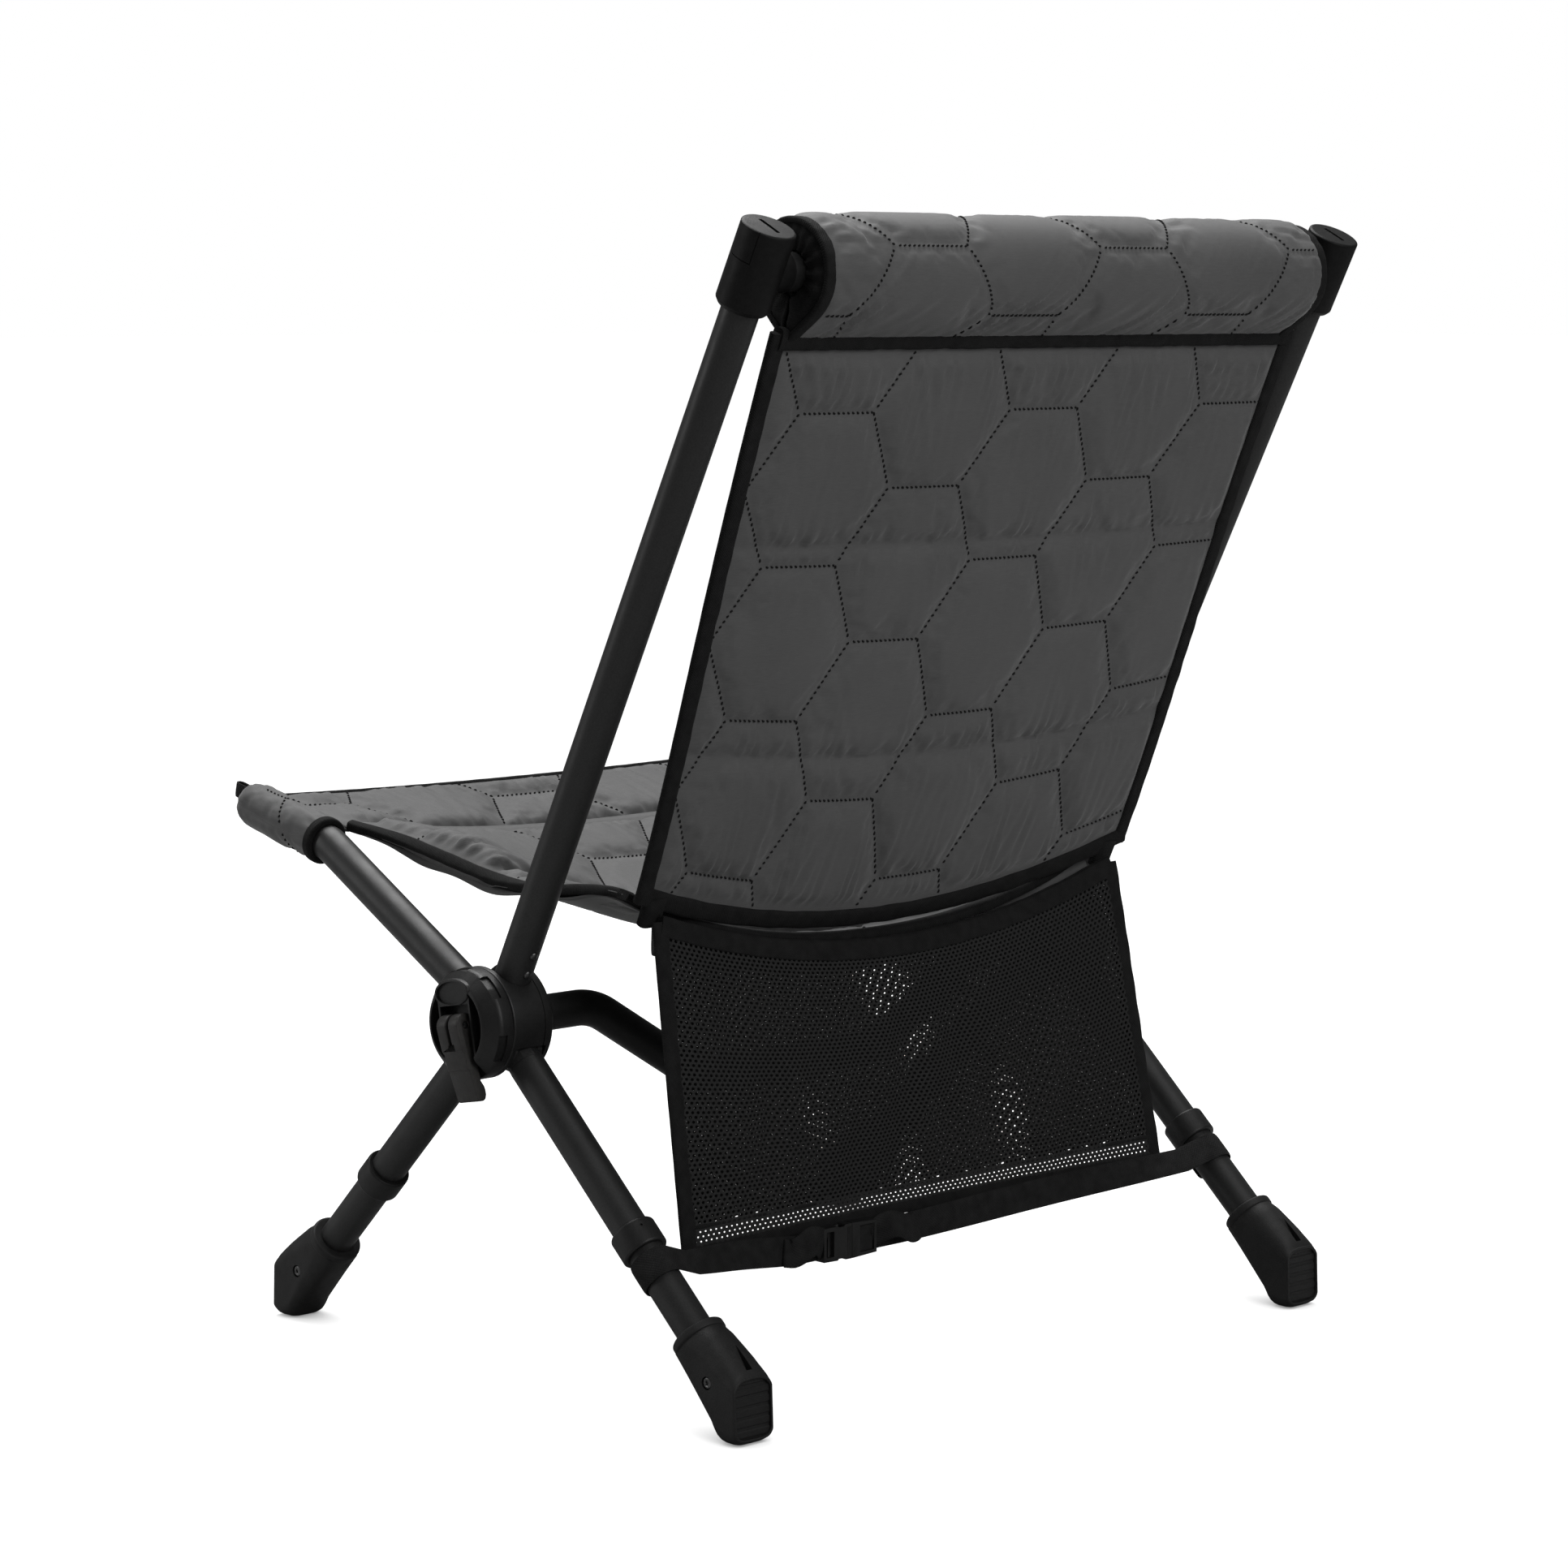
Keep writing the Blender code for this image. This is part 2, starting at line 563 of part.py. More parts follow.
def foot(name, side, angle, origin):
    """Boot-shaped foot: a collar, a body that widens towards the toe, and a short flat sole."""
    down = direction(angle)
    heading = 1 if down.y > 0 else -1
    collar = spot(angle, collar_distance(angle)) - Vector((HALF_SPAN, 0, 0))
    up = Vector((0, heading * sin(radians(angle)) * -1, abs(cos(radians(angle)))))
    collar_r = 17.2 * MM
    outline = [collar - up * collar_r + down * (1 * MM)]
    boot = ((26, 10), (31, 1.5), (34, 0), (49, 0), (51.5, 4), (53, 22), (52, 38), (46, 50), (30, 63))
    for ahead, height in boot:
        outline.append(Vector((0, collar.y + heading * ahead * MM, height * MM)))
    outline.append(collar + up * collar_r + down * (1 * MM))
    body = place(name, prism(outline, HALF_SPAN - FOOT_HALF_WIDTH, HALF_SPAN + FOOT_HALF_WIDTH),
                 foot_rubber(), side, origin=origin)
    bevelled(body, 3.5 * MM, 1, 50)
    at = collar_distance(angle)
    lip = ((17.4 * MM, -3.5 * MM), (18.4 * MM, -2.5 * MM), (18.4 * MM, 2.5 * MM), (16.5 * MM, 4 * MM))
    ring = turned(spot(angle, at), down, lip, 24)
    boolean(body, tool("collar_" + name, ring, side), "UNION")
    socket = turned(spot(angle, at), down, ((FIT_R, -10 * MM), (FIT_R, TUBE_PAST_COLLAR + GAP)))
    boolean(body, tool("socket_" + name, socket, side))
    screw_at = spot(angle, at + SCREW_PAST_COLLAR)
    outward = Vector((1, 0, 0))
    hole = turned(screw_at, outward, ((2.5 * MM, -15.5 * MM), (2.5 * MM, 14.5 * MM), (4.6 * MM, 14.5 * MM),
                                      (4.6 * MM, 22 * MM)), 16)
    boolean(body, tool("screw_hole_" + name, hole, side))
    screw = turned(screw_at, outward, ((2.1 * MM, -15 * MM), (2.1 * MM, 14.8 * MM), (4.1 * MM, 14.8 * MM),
                                       (3.6 * MM, 16.6 * MM)), 12)
    place(name + "_screw", screw, bare_steel(), side, origin=screw_at)


def leg(kind, name, side, angle, start, origin):
    at = collar_distance(angle)
    screw_at = spot(angle, at + SCREW_PAST_COLLAR)
    hole = turned(screw_at, Vector((1, 0, 0)), ((2.5 * MM, -16 * MM), (2.5 * MM, 16 * MM)), 12)
    straight_tube("%s_leg_%s" % (kind, name), side, angle, start, at + TUBE_PAST_COLLAR, hole)
    ring_at = spot(angle, at - RING_BEFORE_COLLAR)
    profile = ((FIT_R, -9 * MM), (14.8 * MM, -10 * MM), (16 * MM, -9 * MM), (16 * MM, 9 * MM),
               (14.8 * MM, 10 * MM), (FIT_R, 9 * MM))
    place("%s_ring_%s" % (kind, name), turned(ring_at, direction(angle), profile, closed=True),
          moulded_plastic(), side, origin=origin)
    foot("%s_foot_%s" % (kind, name), side, angle, origin)


# ---------------------------------------------------------------- fabric stand-ins
def thick_line(points, half):
    """Closed outline around an open line of (y, z) points, with flat ends."""
    line = side_outline(points)
    left, right = [], []
    for i, point in enumerate(line):
        tangent = (line[min(i + 1, len(line) - 1)] - line[max(i - 1, 0)]).normalized()
        normal = Vector((0, -tangent.z, tangent.y))
        left.append(point + normal * half)
        right.append(point - normal * half)
    return left + right[::-1]


def back_panel():
    line = ((252, 699), (224, 634), (197, 566), (171, 498), (148, 430), (126, 379), (108, 332))
    outline = thick_line(line, 6 * MM)
    place("back_panel", prism(outline, -BACK_HALF_WIDTH, BACK_HALF_WIDTH), grey_fabric(),
          origin=(0, HUB_Y, HUB_Z))


def seat_panel():
    line = ((-276, 374), (-215, 361), (-150, 344), (-90, 326), (-30, 313), (35, 310), (92, 322))
    outline = thick_line(line, 6 * MM)
    place("seat_panel", prism(outline, -SEAT_HALF_WIDTH, SEAT_HALF_WIDTH), grey_fabric(),
          origin=(0, HUB_Y, HUB_Z))


def bolster():
    at = spot(UPRIGHT_ANGLE, TOP_BAR_AT)
    start = Vector((0, at.y, at.z))
    edge = 4 * MM
    end_half = ((BOLSTER_R, BOLSTER_HALF - edge), (BOLSTER_R - edge, BOLSTER_HALF), (FIT_R, BOLSTER_HALF))
    profile = [(radius, -along) for radius, along in reversed(end_half)] + list(end_half)
    roll = turned(start, Vector((1, 0, 0)), profile, 24, closed=True)
    place("head_bolster", roll, grey_fabric(), origin=start)


def mesh_pocket():
    """Flat bag of mesh, open at the top, between the back panel and the rear strap."""
    bag = side_outline(((102, 306), (120, 306), (154, 118), (137, 118)))
    pocket = place("mesh_pocket", prism(bag, -POCKET_HALF_WIDTH, POCKET_HALF_WIDTH), black_mesh(),
                   origin=(0, HUB_Y, HUB_Z))
    room = side_outline(((104.0, 320), (115.8, 320), (151, 121), (140.5, 121)))
    inside = POCKET_HALF_WIDTH - 2.5 * MM
    boolean(pocket, tool("pocket_room", prism(room, -inside, inside), 1))


# ---------------------------------------------------------------- strap and buckle
def strap_half(name, side, inner_end):
    """Webbing from the buckle to a loop around one rear leg. inner_end is its x on the mirrored left side."""
    leg_at = collar_distance(REAR_LEG_ANGLE) - 56 * MM
    centre = spot(REAR_LEG_ANGLE, leg_at)
    loop_r = TUBE_R + 2 * GAP + WEB_THICK / 2
    down = direction(REAR_LEG_ANGLE)
    back = direction(REAR_LEG_ANGLE - 90)
    turns = [centre + (Vector((1, 0, 0)) * cos(a) + back * sin(a)) * loop_r
             for a in [radians(float(degrees)) for degrees in range(-120, 121, 24)]]
    start = Vector((inner_end, STRAP_Y + HUB_Y, BUCKLE_Z))
    level_end = start + Vector((LEVEL_WEB, 0, 0))
    tail = Vector((HALF_SPAN - 30 * MM, centre.y, centre.z)) + back * (1.4 * MM)
    steps = 14
    near = [start, *[level_end.lerp(tail, i / steps) for i in range(steps + 1)], *reversed(turns)]
    inner, outer = [], []
    for i, point in enumerate(near):
        tangent = (near[min(i + 1, len(near) - 1)] - near[max(i - 1, 0)]).normalized()
        blend = min(max((point.x - level_end.x) / (tail.x - level_end.x), 0), 1)
        height = (Vector((0, 0, 1)).lerp(-down, blend)).normalized()
        normal = tangent.cross(height).normalized() * (WEB_THICK / 2)
        half = height * (WEB_HEIGHT / 2)
        inner.append([point - normal - half, point - normal + half])
        outer.append([point + normal - half, point + normal + half])
    rings = [[a[0], a[1], b[1], b[0]] for a, b in zip(inner, outer)]
    place("strap_" + name, skin(rings, closed=False), black_webbing(), side,
          origin=spot(REAR_LEG_ANGLE, PIVOT_R))


def buckle_box(x_range, half_thick, z_range):
    """Box in the buckle's frame, in millimetres: x towards the left leg from the parting line."""
    y = (STRAP_Y + HUB_Y) / MM
    low_z, high_z = (BUCKLE_Z / MM + z for z in z_range)
    near, far = y - half_thick, y + half_thick
    corners = ((near, low_z), (far, low_z), (far, high_z), (near, high_z))
    outline = [Vector((0, across * MM, up * MM)) for across, up in corners]
    return prism(outline, *(BUCKLE_X + x * MM for x in x_range))


def buckle():
    """Side-release buckle in the strap. The webbing runs through a slot at the outer end of each half."""
    origin = (BUCKLE_X, STRAP_Y + HUB_Y, BUCKLE_Z)
    full = (-12.5, 12.5)
    web = (-WEB_HEIGHT / MM / 2 - 0.5, WEB_HEIGHT / MM / 2 + 0.5)
    web_half = WEB_THICK / MM / 2 + 0.4
    socket = place("buckle_socket", buckle_box((0, 26), 4.5, full), moulded_plastic(), origin=origin)
    bevelled(socket, 1.2 * MM, 1)
    boolean(socket, tool("socket_mouth", buckle_box((-5, 17), 2.6, (-9.5, 9.5)), 1))
    boolean(socket, tool("socket_windows", buckle_box((5, 14), 2.5, (-20, 20)), 1))
    boolean(socket, tool("socket_web_slot", buckle_box((19, 40), web_half, web), 1))
    plug = place("buckle_plug", buckle_box((-24, -0.5), 4.5, full), moulded_plastic(), origin=origin)
    bevelled(plug, 1.2 * MM, 1)
    prongs = [buckle_box((-4, 15), 2.1, prong) for prong in ((-9, -6), (-1.5, 1.5), (6, 9))]
    boolean(plug, tool("plug_prongs", joined(*prongs), 1), "UNION")
    boolean(plug, tool("plug_web_slot", buckle_box((-40, -6), web_half, web), 1))


# ---------------------------------------------------------------- assembly
def clear_scene():
    for old in list(bpy.data.objects):
        bpy.data.objects.remove(old, do_unlink=True)


def side_frame(name, side):
    hub_housing(name, side)
    hub_cap(name, side)
    cam_bolt(name, side)
    cam_lever(name, side)
    straight_tube("upright_" + name, side, UPRIGHT_ANGLE, SOCKET_START + GAP, UPRIGHT_END, rivet_holes())
    rivets(name, side)
    top_cap(name, side)
    crossbar_collar(name, side)
    leg("front", name, side, FRONT_LEG_ANGLE, SOCKET_START + GAP, spot(FRONT_LEG_ANGLE, 0))
    rear_pivot = spot(REAR_LEG_ANGLE, PIVOT_R)
    leg("rear", name, side, REAR_LEG_ANGLE, LUG_END + GAP, rear_pivot)
    lug("rear_lug_" + name, side, REAR_LEG_ANGLE, rear_pivot)
    seat_pole(name, side)
    corner_pocket(name, side)


def build():
    clear_scene()
    for name, side in SIDES:
        side_frame(name, side)
    top_crossbar()
    crossbar()
    back_panel()
    seat_panel()
    bolster()
    mesh_pocket()
    strap_half("left", 1, BUCKLE_X + 20 * MM)
    strap_half("right", -1, -BUCKLE_X + PLUG_WEB_END)
    buckle()
    bpy.context.view_layer.update()


build()
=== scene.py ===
"""Looks of a folding camping chair with a quilted sling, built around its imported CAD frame.

The sitter faces -Y and the left side is +X. Tubes, hubs and feet are rebuilt with fine meshes on the CAD's
axes. The sling is quilted fabric puffed by cloth simulation while flat, then laid on the chair's shape.
"""
from math import atan2, cos, degrees, pi, radians, sin, sqrt

import bmesh
import bpy
import numpy as np
from mathutils import Matrix, Vector


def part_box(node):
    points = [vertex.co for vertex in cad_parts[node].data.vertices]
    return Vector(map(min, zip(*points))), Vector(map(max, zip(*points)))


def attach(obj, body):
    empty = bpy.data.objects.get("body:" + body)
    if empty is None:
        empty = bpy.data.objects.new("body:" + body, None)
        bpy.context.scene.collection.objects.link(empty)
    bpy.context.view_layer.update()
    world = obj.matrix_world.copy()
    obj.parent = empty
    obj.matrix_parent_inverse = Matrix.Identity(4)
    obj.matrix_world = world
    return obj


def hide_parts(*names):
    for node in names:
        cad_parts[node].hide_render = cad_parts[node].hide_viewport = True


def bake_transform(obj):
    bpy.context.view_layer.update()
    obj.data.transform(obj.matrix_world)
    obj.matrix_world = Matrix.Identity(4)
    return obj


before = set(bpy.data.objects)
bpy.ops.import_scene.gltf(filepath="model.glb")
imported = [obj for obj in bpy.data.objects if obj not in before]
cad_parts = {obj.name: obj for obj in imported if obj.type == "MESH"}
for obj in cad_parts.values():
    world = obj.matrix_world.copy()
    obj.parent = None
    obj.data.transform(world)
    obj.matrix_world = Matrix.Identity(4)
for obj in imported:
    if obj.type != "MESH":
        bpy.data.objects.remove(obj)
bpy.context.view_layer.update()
MM = 0.001

# ---------------------------------------------------------------- the frame's driving sizes
SIDES = (("left", 1), ("right", -1))


def box_middle(node):
    low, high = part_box(node)
    return (low + high) / 2


def mm(*points):
    """Points given in millimetres, as metres."""
    return tuple(tuple(value * MM for value in point) for point in points)


HUB = Vector((box_middle("upright_left").x, *box_middle("crossbar_collar_left")[1:]))     # left hub's centre
UPRIGHT_ANGLE = 117.0         # directions in a side plane: from straight ahead, turning up
SEAT_ANGLE = 29.0
FRONT_LEG_ANGLE = -44.7
REAR_LEG_ANGLE = 222.0
NOSE_ANGLE = 13.0             # seat pole ahead of its bend
LEVER_TILT = 11.0             # cam lever's blade, from straight down
SEAT_SWING, REAR_SWING = 84, 86
LEGS = (("front", FRONT_LEG_ANGLE, "back_frame"), ("rear", REAR_LEG_ANGLE, "rear_legs"))
OUT = Vector((1, 0, 0))
TUBE_R = 12.5 * MM
TUBE_SIDES = 64


def direction(angle):
    return Vector((0, -cos(radians(angle)), sin(radians(angle))))


def spot(angle, distance):
    """Point at a distance from the left hub's centre along an angle."""
    return HUB + direction(angle) * distance


def reach(node, angle):
    """Nearest and farthest distance of a node's points from the hub centre, along an angle."""
    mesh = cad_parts[node].data
    along = direction(angle)
    distances = [(vertex.co - HUB).dot(along) for vertex in mesh.vertices]
    return min(distances), max(distances)


def ankle(angle):
    """Distance from the hub's centre, along a leg, of the foot's collar."""
    return (HUB.z - 60 * MM) / abs(sin(radians(angle)))


POLE_BEND, POLE_BEND_R = spot(SEAT_ANGLE, 212 * MM), 60 * MM     # corner and radius of the seat pole's bend


# ---------------------------------------------------------------- materials
def put(node, values):
    """Sets a node's input sockets by name."""
    for socket, value in values.items():
        node.inputs[socket].default_value = value
    return node


def shader_of(name, colour, roughness, metallic=0.0):
    made = bpy.data.materials.new(name)
    made.use_nodes = True
    shader = made.node_tree.nodes["Principled BSDF"]
    put(shader, {"Base Color": (*colour, 1), "Roughness": roughness, "Metallic": metallic})
    return made, shader


def add_node(made, kind, **settings):
    """New node; each setting is the value of an input socket or else an option."""
    node = made.node_tree.nodes.new(kind)
    for key, value in settings.items():
        if key in node.inputs:
            node.inputs[key].default_value = value
        else:
            setattr(node, key, value)
    return node


def link(made, source, target):
    made.node_tree.links.new(source, target)


def object_space(made, scale=(1, 1, 1)):
    mapping = add_node(made, "ShaderNodeMapping", Scale=scale)
    link(made, add_node(made, "ShaderNodeTexCoord").outputs["Object"], mapping.inputs["Vector"])
    return mapping.outputs["Vector"]


def noise(made, space, scale, detail=3.0):
    node = add_node(made, "ShaderNodeTexNoise", Scale=scale, Detail=detail, Roughness=0.55)
    link(made, space, node.inputs["Vector"])
    return node.outputs["Fac"]


def spread(made, value, low, high, start=0.3, stop=0.7):
    """Maps a texture's values between start and stop onto a range."""
    node = put(add_node(made, "ShaderNodeMapRange"),
               {"From Min": start, "From Max": stop, "To Min": low, "To Max": high})
    link(made, value, node.inputs["Value"])
    return node.outputs["Result"]


def maths(made, operation, *values):
    """Result of a Math node of values that are sockets or numbers."""
    node = add_node(made, "ShaderNodeMath", operation=operation)
    for socket, value in zip(node.inputs, values):
        if isinstance(value, bpy.types.NodeSocket):
            link(made, value, socket)
        else:
            socket.default_value = value
    return node.outputs[0]


def tinted(made, shader, texture, dark, light):
    mix = add_node(made, "ShaderNodeMix", data_type="RGBA")
    mix.inputs[6].default_value = (*dark, 1)
    mix.inputs[7].default_value = (*light, 1)
    link(made, spread(made, texture, 0, 1), mix.inputs["Factor"])
    link(made, mix.outputs[2], shader.inputs["Base Color"])


def glossed(made, shader, texture, low, high):
    """Roughness that varies from low to high with a texture."""
    link(made, spread(made, texture, low, high), shader.inputs["Roughness"])


def bumped(made, shader, value, strength, distance):
    bump = add_node(made, "ShaderNodeBump", Strength=strength, Distance=distance)
    link(made, value, bump.inputs["Height"])
    link(made, bump.outputs["Normal"], shader.inputs["Normal"])


def grey(value, warm=0.0):
    return (value * (1 + warm), value, value * (1 - warm))


def tube_paint():
    """Satin powder coat: fine orange peel, slightly uneven gloss, rubbed patches."""
    made, shader = shader_of("tube_paint", grey(0.014), 0.5, 0.2)
    space = object_space(made)
    glossed(made, shader, noise(made, space, 60, 4), 0.44, 0.56)
    tinted(made, shader, noise(made, space, 900, 2), grey(0.009), grey(0.017))
    bumped(made, shader, noise(made, space, 1600, 2), 0.12, 0.0001)
    put(shader, {"Coat Weight": 0.1, "Coat Roughness": 0.35})
    return made


def moulded(name, level, roughness, grain=1400, warm=0.0, gloss=0.38):
    """Moulded nylon or rubber with a fine spark-eroded grain."""
    made, shader = shader_of(name, grey(level, warm), roughness)
    put(shader, {"Specular IOR Level": gloss})
    space = object_space(made)
    glossed(made, shader, noise(made, space, 45, 3), roughness - 0.06, roughness + 0.07)
    tinted(made, shader, noise(made, space, 250, 4), grey(level * 0.8, warm), grey(level * 1.25, warm))
    bumped(made, shader, noise(made, space, grain, 3), 0.35, 0.0003)
    return made


def steel():
    made, shader = shader_of("dark_steel", grey(0.12), 0.35, 1.0)
    space = object_space(made, (1, 1, 8))
    glossed(made, shader, noise(made, space, 300, 3), 0.28, 0.5)
    bumped(made, shader, noise(made, space, 900, 2), 0.2, 0.0001)
    return made


def woven(made, shader, pitch, strength, depth):
    """Bump of a plain weave: two sets of threads crossing, from the mesh's flat coordinates in metres."""
    flat = add_node(made, "ShaderNodeUVMap", uv_map="flat")
    split = add_node(made, "ShaderNodeSeparateXYZ")
    link(made, flat.outputs["UV"], split.inputs["Vector"])
    waves = [maths(made, "SINE", maths(made, "MULTIPLY", split.outputs[axis], 2 * pi / pitch)) for axis in "XY"]
    bumped(made, shader, maths(made, "MULTIPLY", *waves), strength, depth)


def quilt_cloth():
    """Grey polyester with a fine weave, faint streaks along the threads and a soft sheen."""
    made, shader = shader_of("grey_quilt", grey(0.062), 0.62)
    woven(made, shader, 0.0009, 0.35, 0.00012)
    streaks = noise(made, object_space(made, (1, 1, 14)), 160, 3)
    patches = noise(made, object_space(made), 9, 3)
    both = maths(made, "MULTIPLY", maths(made, "ADD", streaks, patches), 0.5)
    tinted(made, shader, both, grey(0.078), grey(0.108))
    put(shader, {"Sheen Weight": 0.25, "Sheen Roughness": 0.4, "Specular IOR Level": 0.35})
    return made


def black_cloth(name, level, pitch):
    """Black tape or webbing with a ribbed weave."""
    made, shader = shader_of(name, grey(level), 0.85)
    woven(made, shader, pitch, 0.6, 0.0003)
    tinted(made, shader, noise(made, object_space(made), 120, 3), grey(level * 0.6), grey(level * 1.6))
    put(shader, {"Specular IOR Level": 0.25})
    return made


def plain_fibre(name, level):
    """Thread and mesh yarn: no flat coordinates, a fine fuzz only."""
    made, shader = shader_of(name, grey(level), 0.8)
    space = object_space(made)
    tinted(made, shader, noise(made, space, 700, 2), grey(level * 0.7), grey(level * 1.4))
    bumped(made, shader, noise(made, space, 2500, 2), 0.3, 0.0001)
    put(shader, {"Specular IOR Level": 0.25})
    return made


PAINT = tube_paint()
PLASTIC = moulded("black_plastic", 0.0068, 0.46)
CAP_PLASTIC = moulded("cap_plastic", 0.0068, 0.5, gloss=0.14)
LEVER = moulded("lever_plastic", 0.02, 0.48, warm=0.06)
RUBBER = moulded("foot_rubber", 0.009, 0.6, 900)
STEEL = steel()
QUILT = quilt_cloth()
TAPE = black_cloth("binding_tape", 0.006, 0.0016)
WEBBING = black_cloth("black_webbing", 0.008, 0.0022)
THREAD = plain_fibre("stitching_thread", 0.004)
YARN = plain_fibre("mesh_yarn", 0.017)
# The front layer is the same yarn as the rear one, painted darker: painted shade inside the pocket.
SHADED_INNER_YARN = plain_fibre("mesh_yarn_inner_painted_shade", 0.004)


# ---------------------------------------------------------------- mesh helpers
def new_object(name, points, faces, finish, sharp=None, flat=None):
    """Mesh object from points and faces; flat gives each point's place on the flat cloth, in metres."""
    mesh = bpy.data.meshes.new(name)
    mesh.from_pydata([tuple(point) for point in points], [], [tuple(face) for face in faces])
    mesh.materials.append(finish)
    if flat is not None:
        layer = mesh.uv_layers.new(name="flat")
        corners = np.zeros(len(mesh.loops), dtype=np.int32)
        mesh.loops.foreach_get("vertex_index", corners)
        layer.data.foreach_set("uv", np.asarray(flat, dtype=np.float32)[corners].ravel())
    mesh.shade_smooth()
    if sharp:
        mesh.set_sharp_from_angle(angle=radians(sharp))
    made = bpy.data.objects.new(name, mesh)
    bpy.context.scene.collection.objects.link(made)
    return made


def shown(made, body, slot, *nodes):
    """Rides a finished piece on its body and hides the CAD nodes that it stands for; slot is not used."""
    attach(made, body)
    if nodes:
        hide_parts(*nodes)
    return made


def cross_pair(axis, hint=None):
    """Two directions at right angles to an axis and to each other."""
    helper = hint or (Vector((1, 0, 0)) if abs(axis.x) < 0.9 else Vector((0, 1, 0)))
    first = (helper - axis * helper.dot(axis)).normalized()
    return first, axis.cross(first).normalized()


def tangent_at(path, i):
    """Direction of a path at its point i."""
    return (path[min(i + 1, len(path) - 1)] - path[max(i - 1, 0)]).normalized()


def grid_faces(rows, columns, wrap_columns=True, wrap_rows=False):
    """Quads of a grid of points stored row by row."""
    faces = []
    for i in range(rows if wrap_rows else rows - 1):
        for j in range(columns if wrap_columns else columns - 1):
            a, b = i * columns + j, i * columns + (j + 1) % columns
            c = ((i + 1) % rows) * columns
            faces.append((a, b, c + (j + 1) % columns, c + j))
    return faces


def end_caps(count, sides):
    """Faces that close both ends of a tube of count points, sides to a ring."""
    return [tuple(range(sides))[::-1], tuple(range(count - sides, count))]


def layer_faces(rows, columns):
    """Faces of a closed thin piece: two grids of points, joined round their border."""
    front, count = grid_faces(rows, columns, False), rows * columns
    loop = [(0, j) for j in range(columns)] + [(i, columns - 1) for i in range(1, rows)]
    loop += [(rows - 1, j) for j in range(columns - 2, -1, -1)] + [(i, 0) for i in range(rows - 2, 0, -1)]
    loop = [i * columns + j for i, j in loop]
    return (front + [tuple(i + count for i in face[::-1]) for face in front]
            + [(a, b, b + count, a + count) for a, b in zip(loop, loop[1:] + loop[:1])])


def ring(centre, axis, radius, sides, hint=None):
    """Points round an axis; radius is one number or a list with one for each point."""
    first, second = cross_pair(axis, hint)
    radii = radius if isinstance(radius, list) else [radius] * sides
    return [centre + (first * cos(2 * pi * i / sides) + second * sin(2 * pi * i / sides)) * size
            for i, size in enumerate(radii)]


def stacked(rings, closed=False):
    """Points and faces through rings of equal length, with flat ends or joined into a loop."""
    sides = len(rings[0])
    points = [point for one in rings for point in one]
    faces = grid_faces(len(rings), sides, True, closed)
    return points, faces if closed else faces + end_caps(len(points), sides)


def outward(made):
    """Turns a closed mesh's faces outward."""
    work = bmesh.new()
    work.from_mesh(made.data)
    bmesh.ops.recalc_face_normals(work, faces=work.faces)
    if work.calc_volume(signed=True) < 0:
        bmesh.ops.reverse_faces(work, faces=work.faces)
    work.to_mesh(made.data)
    work.free()
    return made


def turned(name, start, axis, profile, finish, sides=TUBE_SIDES, closed=False, sharp=35):
    """Turned piece; profile is (radius, distance along the axis)."""
    axis = axis.normalized()
    rings = [ring(start + axis * along, axis, radius, sides) for radius, along in profile]
    return outward(new_object(name, *stacked(rings, closed), finish, sharp))


def eased(profile, width=0.6 * MM, steps=3):
    """Profile with its inner corners rounded."""
    points = [Vector(pair) for pair in profile]
    out = [points[0]]
    for before, corner, after in zip(points, points[1:], points[2:]):
        back, ahead = before - corner, after - corner
        cut = min(width, back.length * 0.45, ahead.length * 0.45)
        start = corner + back.normalized() * cut
        end = corner + ahead.normalized() * cut
        for i in range(steps + 1):
            t = i / steps
            out.append(start * (1 - t) ** 2 + corner * 2 * t * (1 - t) + end * t ** 2)
    out.append(points[-1])
    return [tuple(point) for point in out]


def eased_loop(profile, width, steps=3):
    """Closed profile with its corners rounded, all but the first."""
    return eased(profile + profile[:1], width, steps)[:-1]


def mirrored(made, side):
    """Mirrors a piece built for the left side when it belongs to the right."""
    if side < 0:
        made.data.transform(Matrix.Scale(-1, 4, (1, 0, 0)))
        made.data.flip_normals()
    return made


def rounded_path(corners, radius, steps=10):
    """Path through the corners, each inner corner rounded by an arc."""
    path = [corners[0]]
    for before, corner, after in zip(corners, corners[1:], corners[2:]):
        back = (before - corner).normalized()
        ahead = (after - corner).normalized()
        half = back.angle(ahead) / 2
        centre = corner + (back + ahead).normalized() * (radius / sin(half))
        start = corner + back * (radius / (sin(half) / cos(half))) - centre
        axis = start.cross(corner + ahead * start.length - centre).normalized()
        turn = pi - 2 * half
        for i in range(steps + 1):
            path.append(centre + Matrix.Rotation(turn * i / steps, 3, axis) @ start)
    path.append(corners[-1])
    return path


def swept_rings(path, radius, sides, hint):
    return [ring(point, tangent_at(path, i), radius, sides, hint) for i, point in enumerate(path)]


def tube(name, path, finish=PAINT, radius=TUBE_R, sides=TUBE_SIDES):
    hint = Vector((1, 0, 0))
    if abs((path[-1] - path[0]).normalized().x) > 0.5:
        hint = Vector((0, 1, 0))
    return outward(new_object(name, *stacked(swept_rings(path, radius, sides, hint)), finish, 35))


def prism(name, outline, low, high, across, finish, sharp=30):
    """Outline (points of a plane) extruded from low to high along a direction."""
    rings = [[point + across * low for point in outline], [point + across * high for point in outline]]
    return outward(new_object(name, *stacked(rings), finish, sharp))


def applied(made):
    """Applies a piece's modifiers to its mesh."""
    bpy.context.view_layer.update()
    graph = bpy.context.evaluated_depsgraph_get()
    mesh = bpy.data.meshes.new_from_object(made.evaluated_get(graph))
    made.modifiers.clear()
    made.data = mesh
    return made


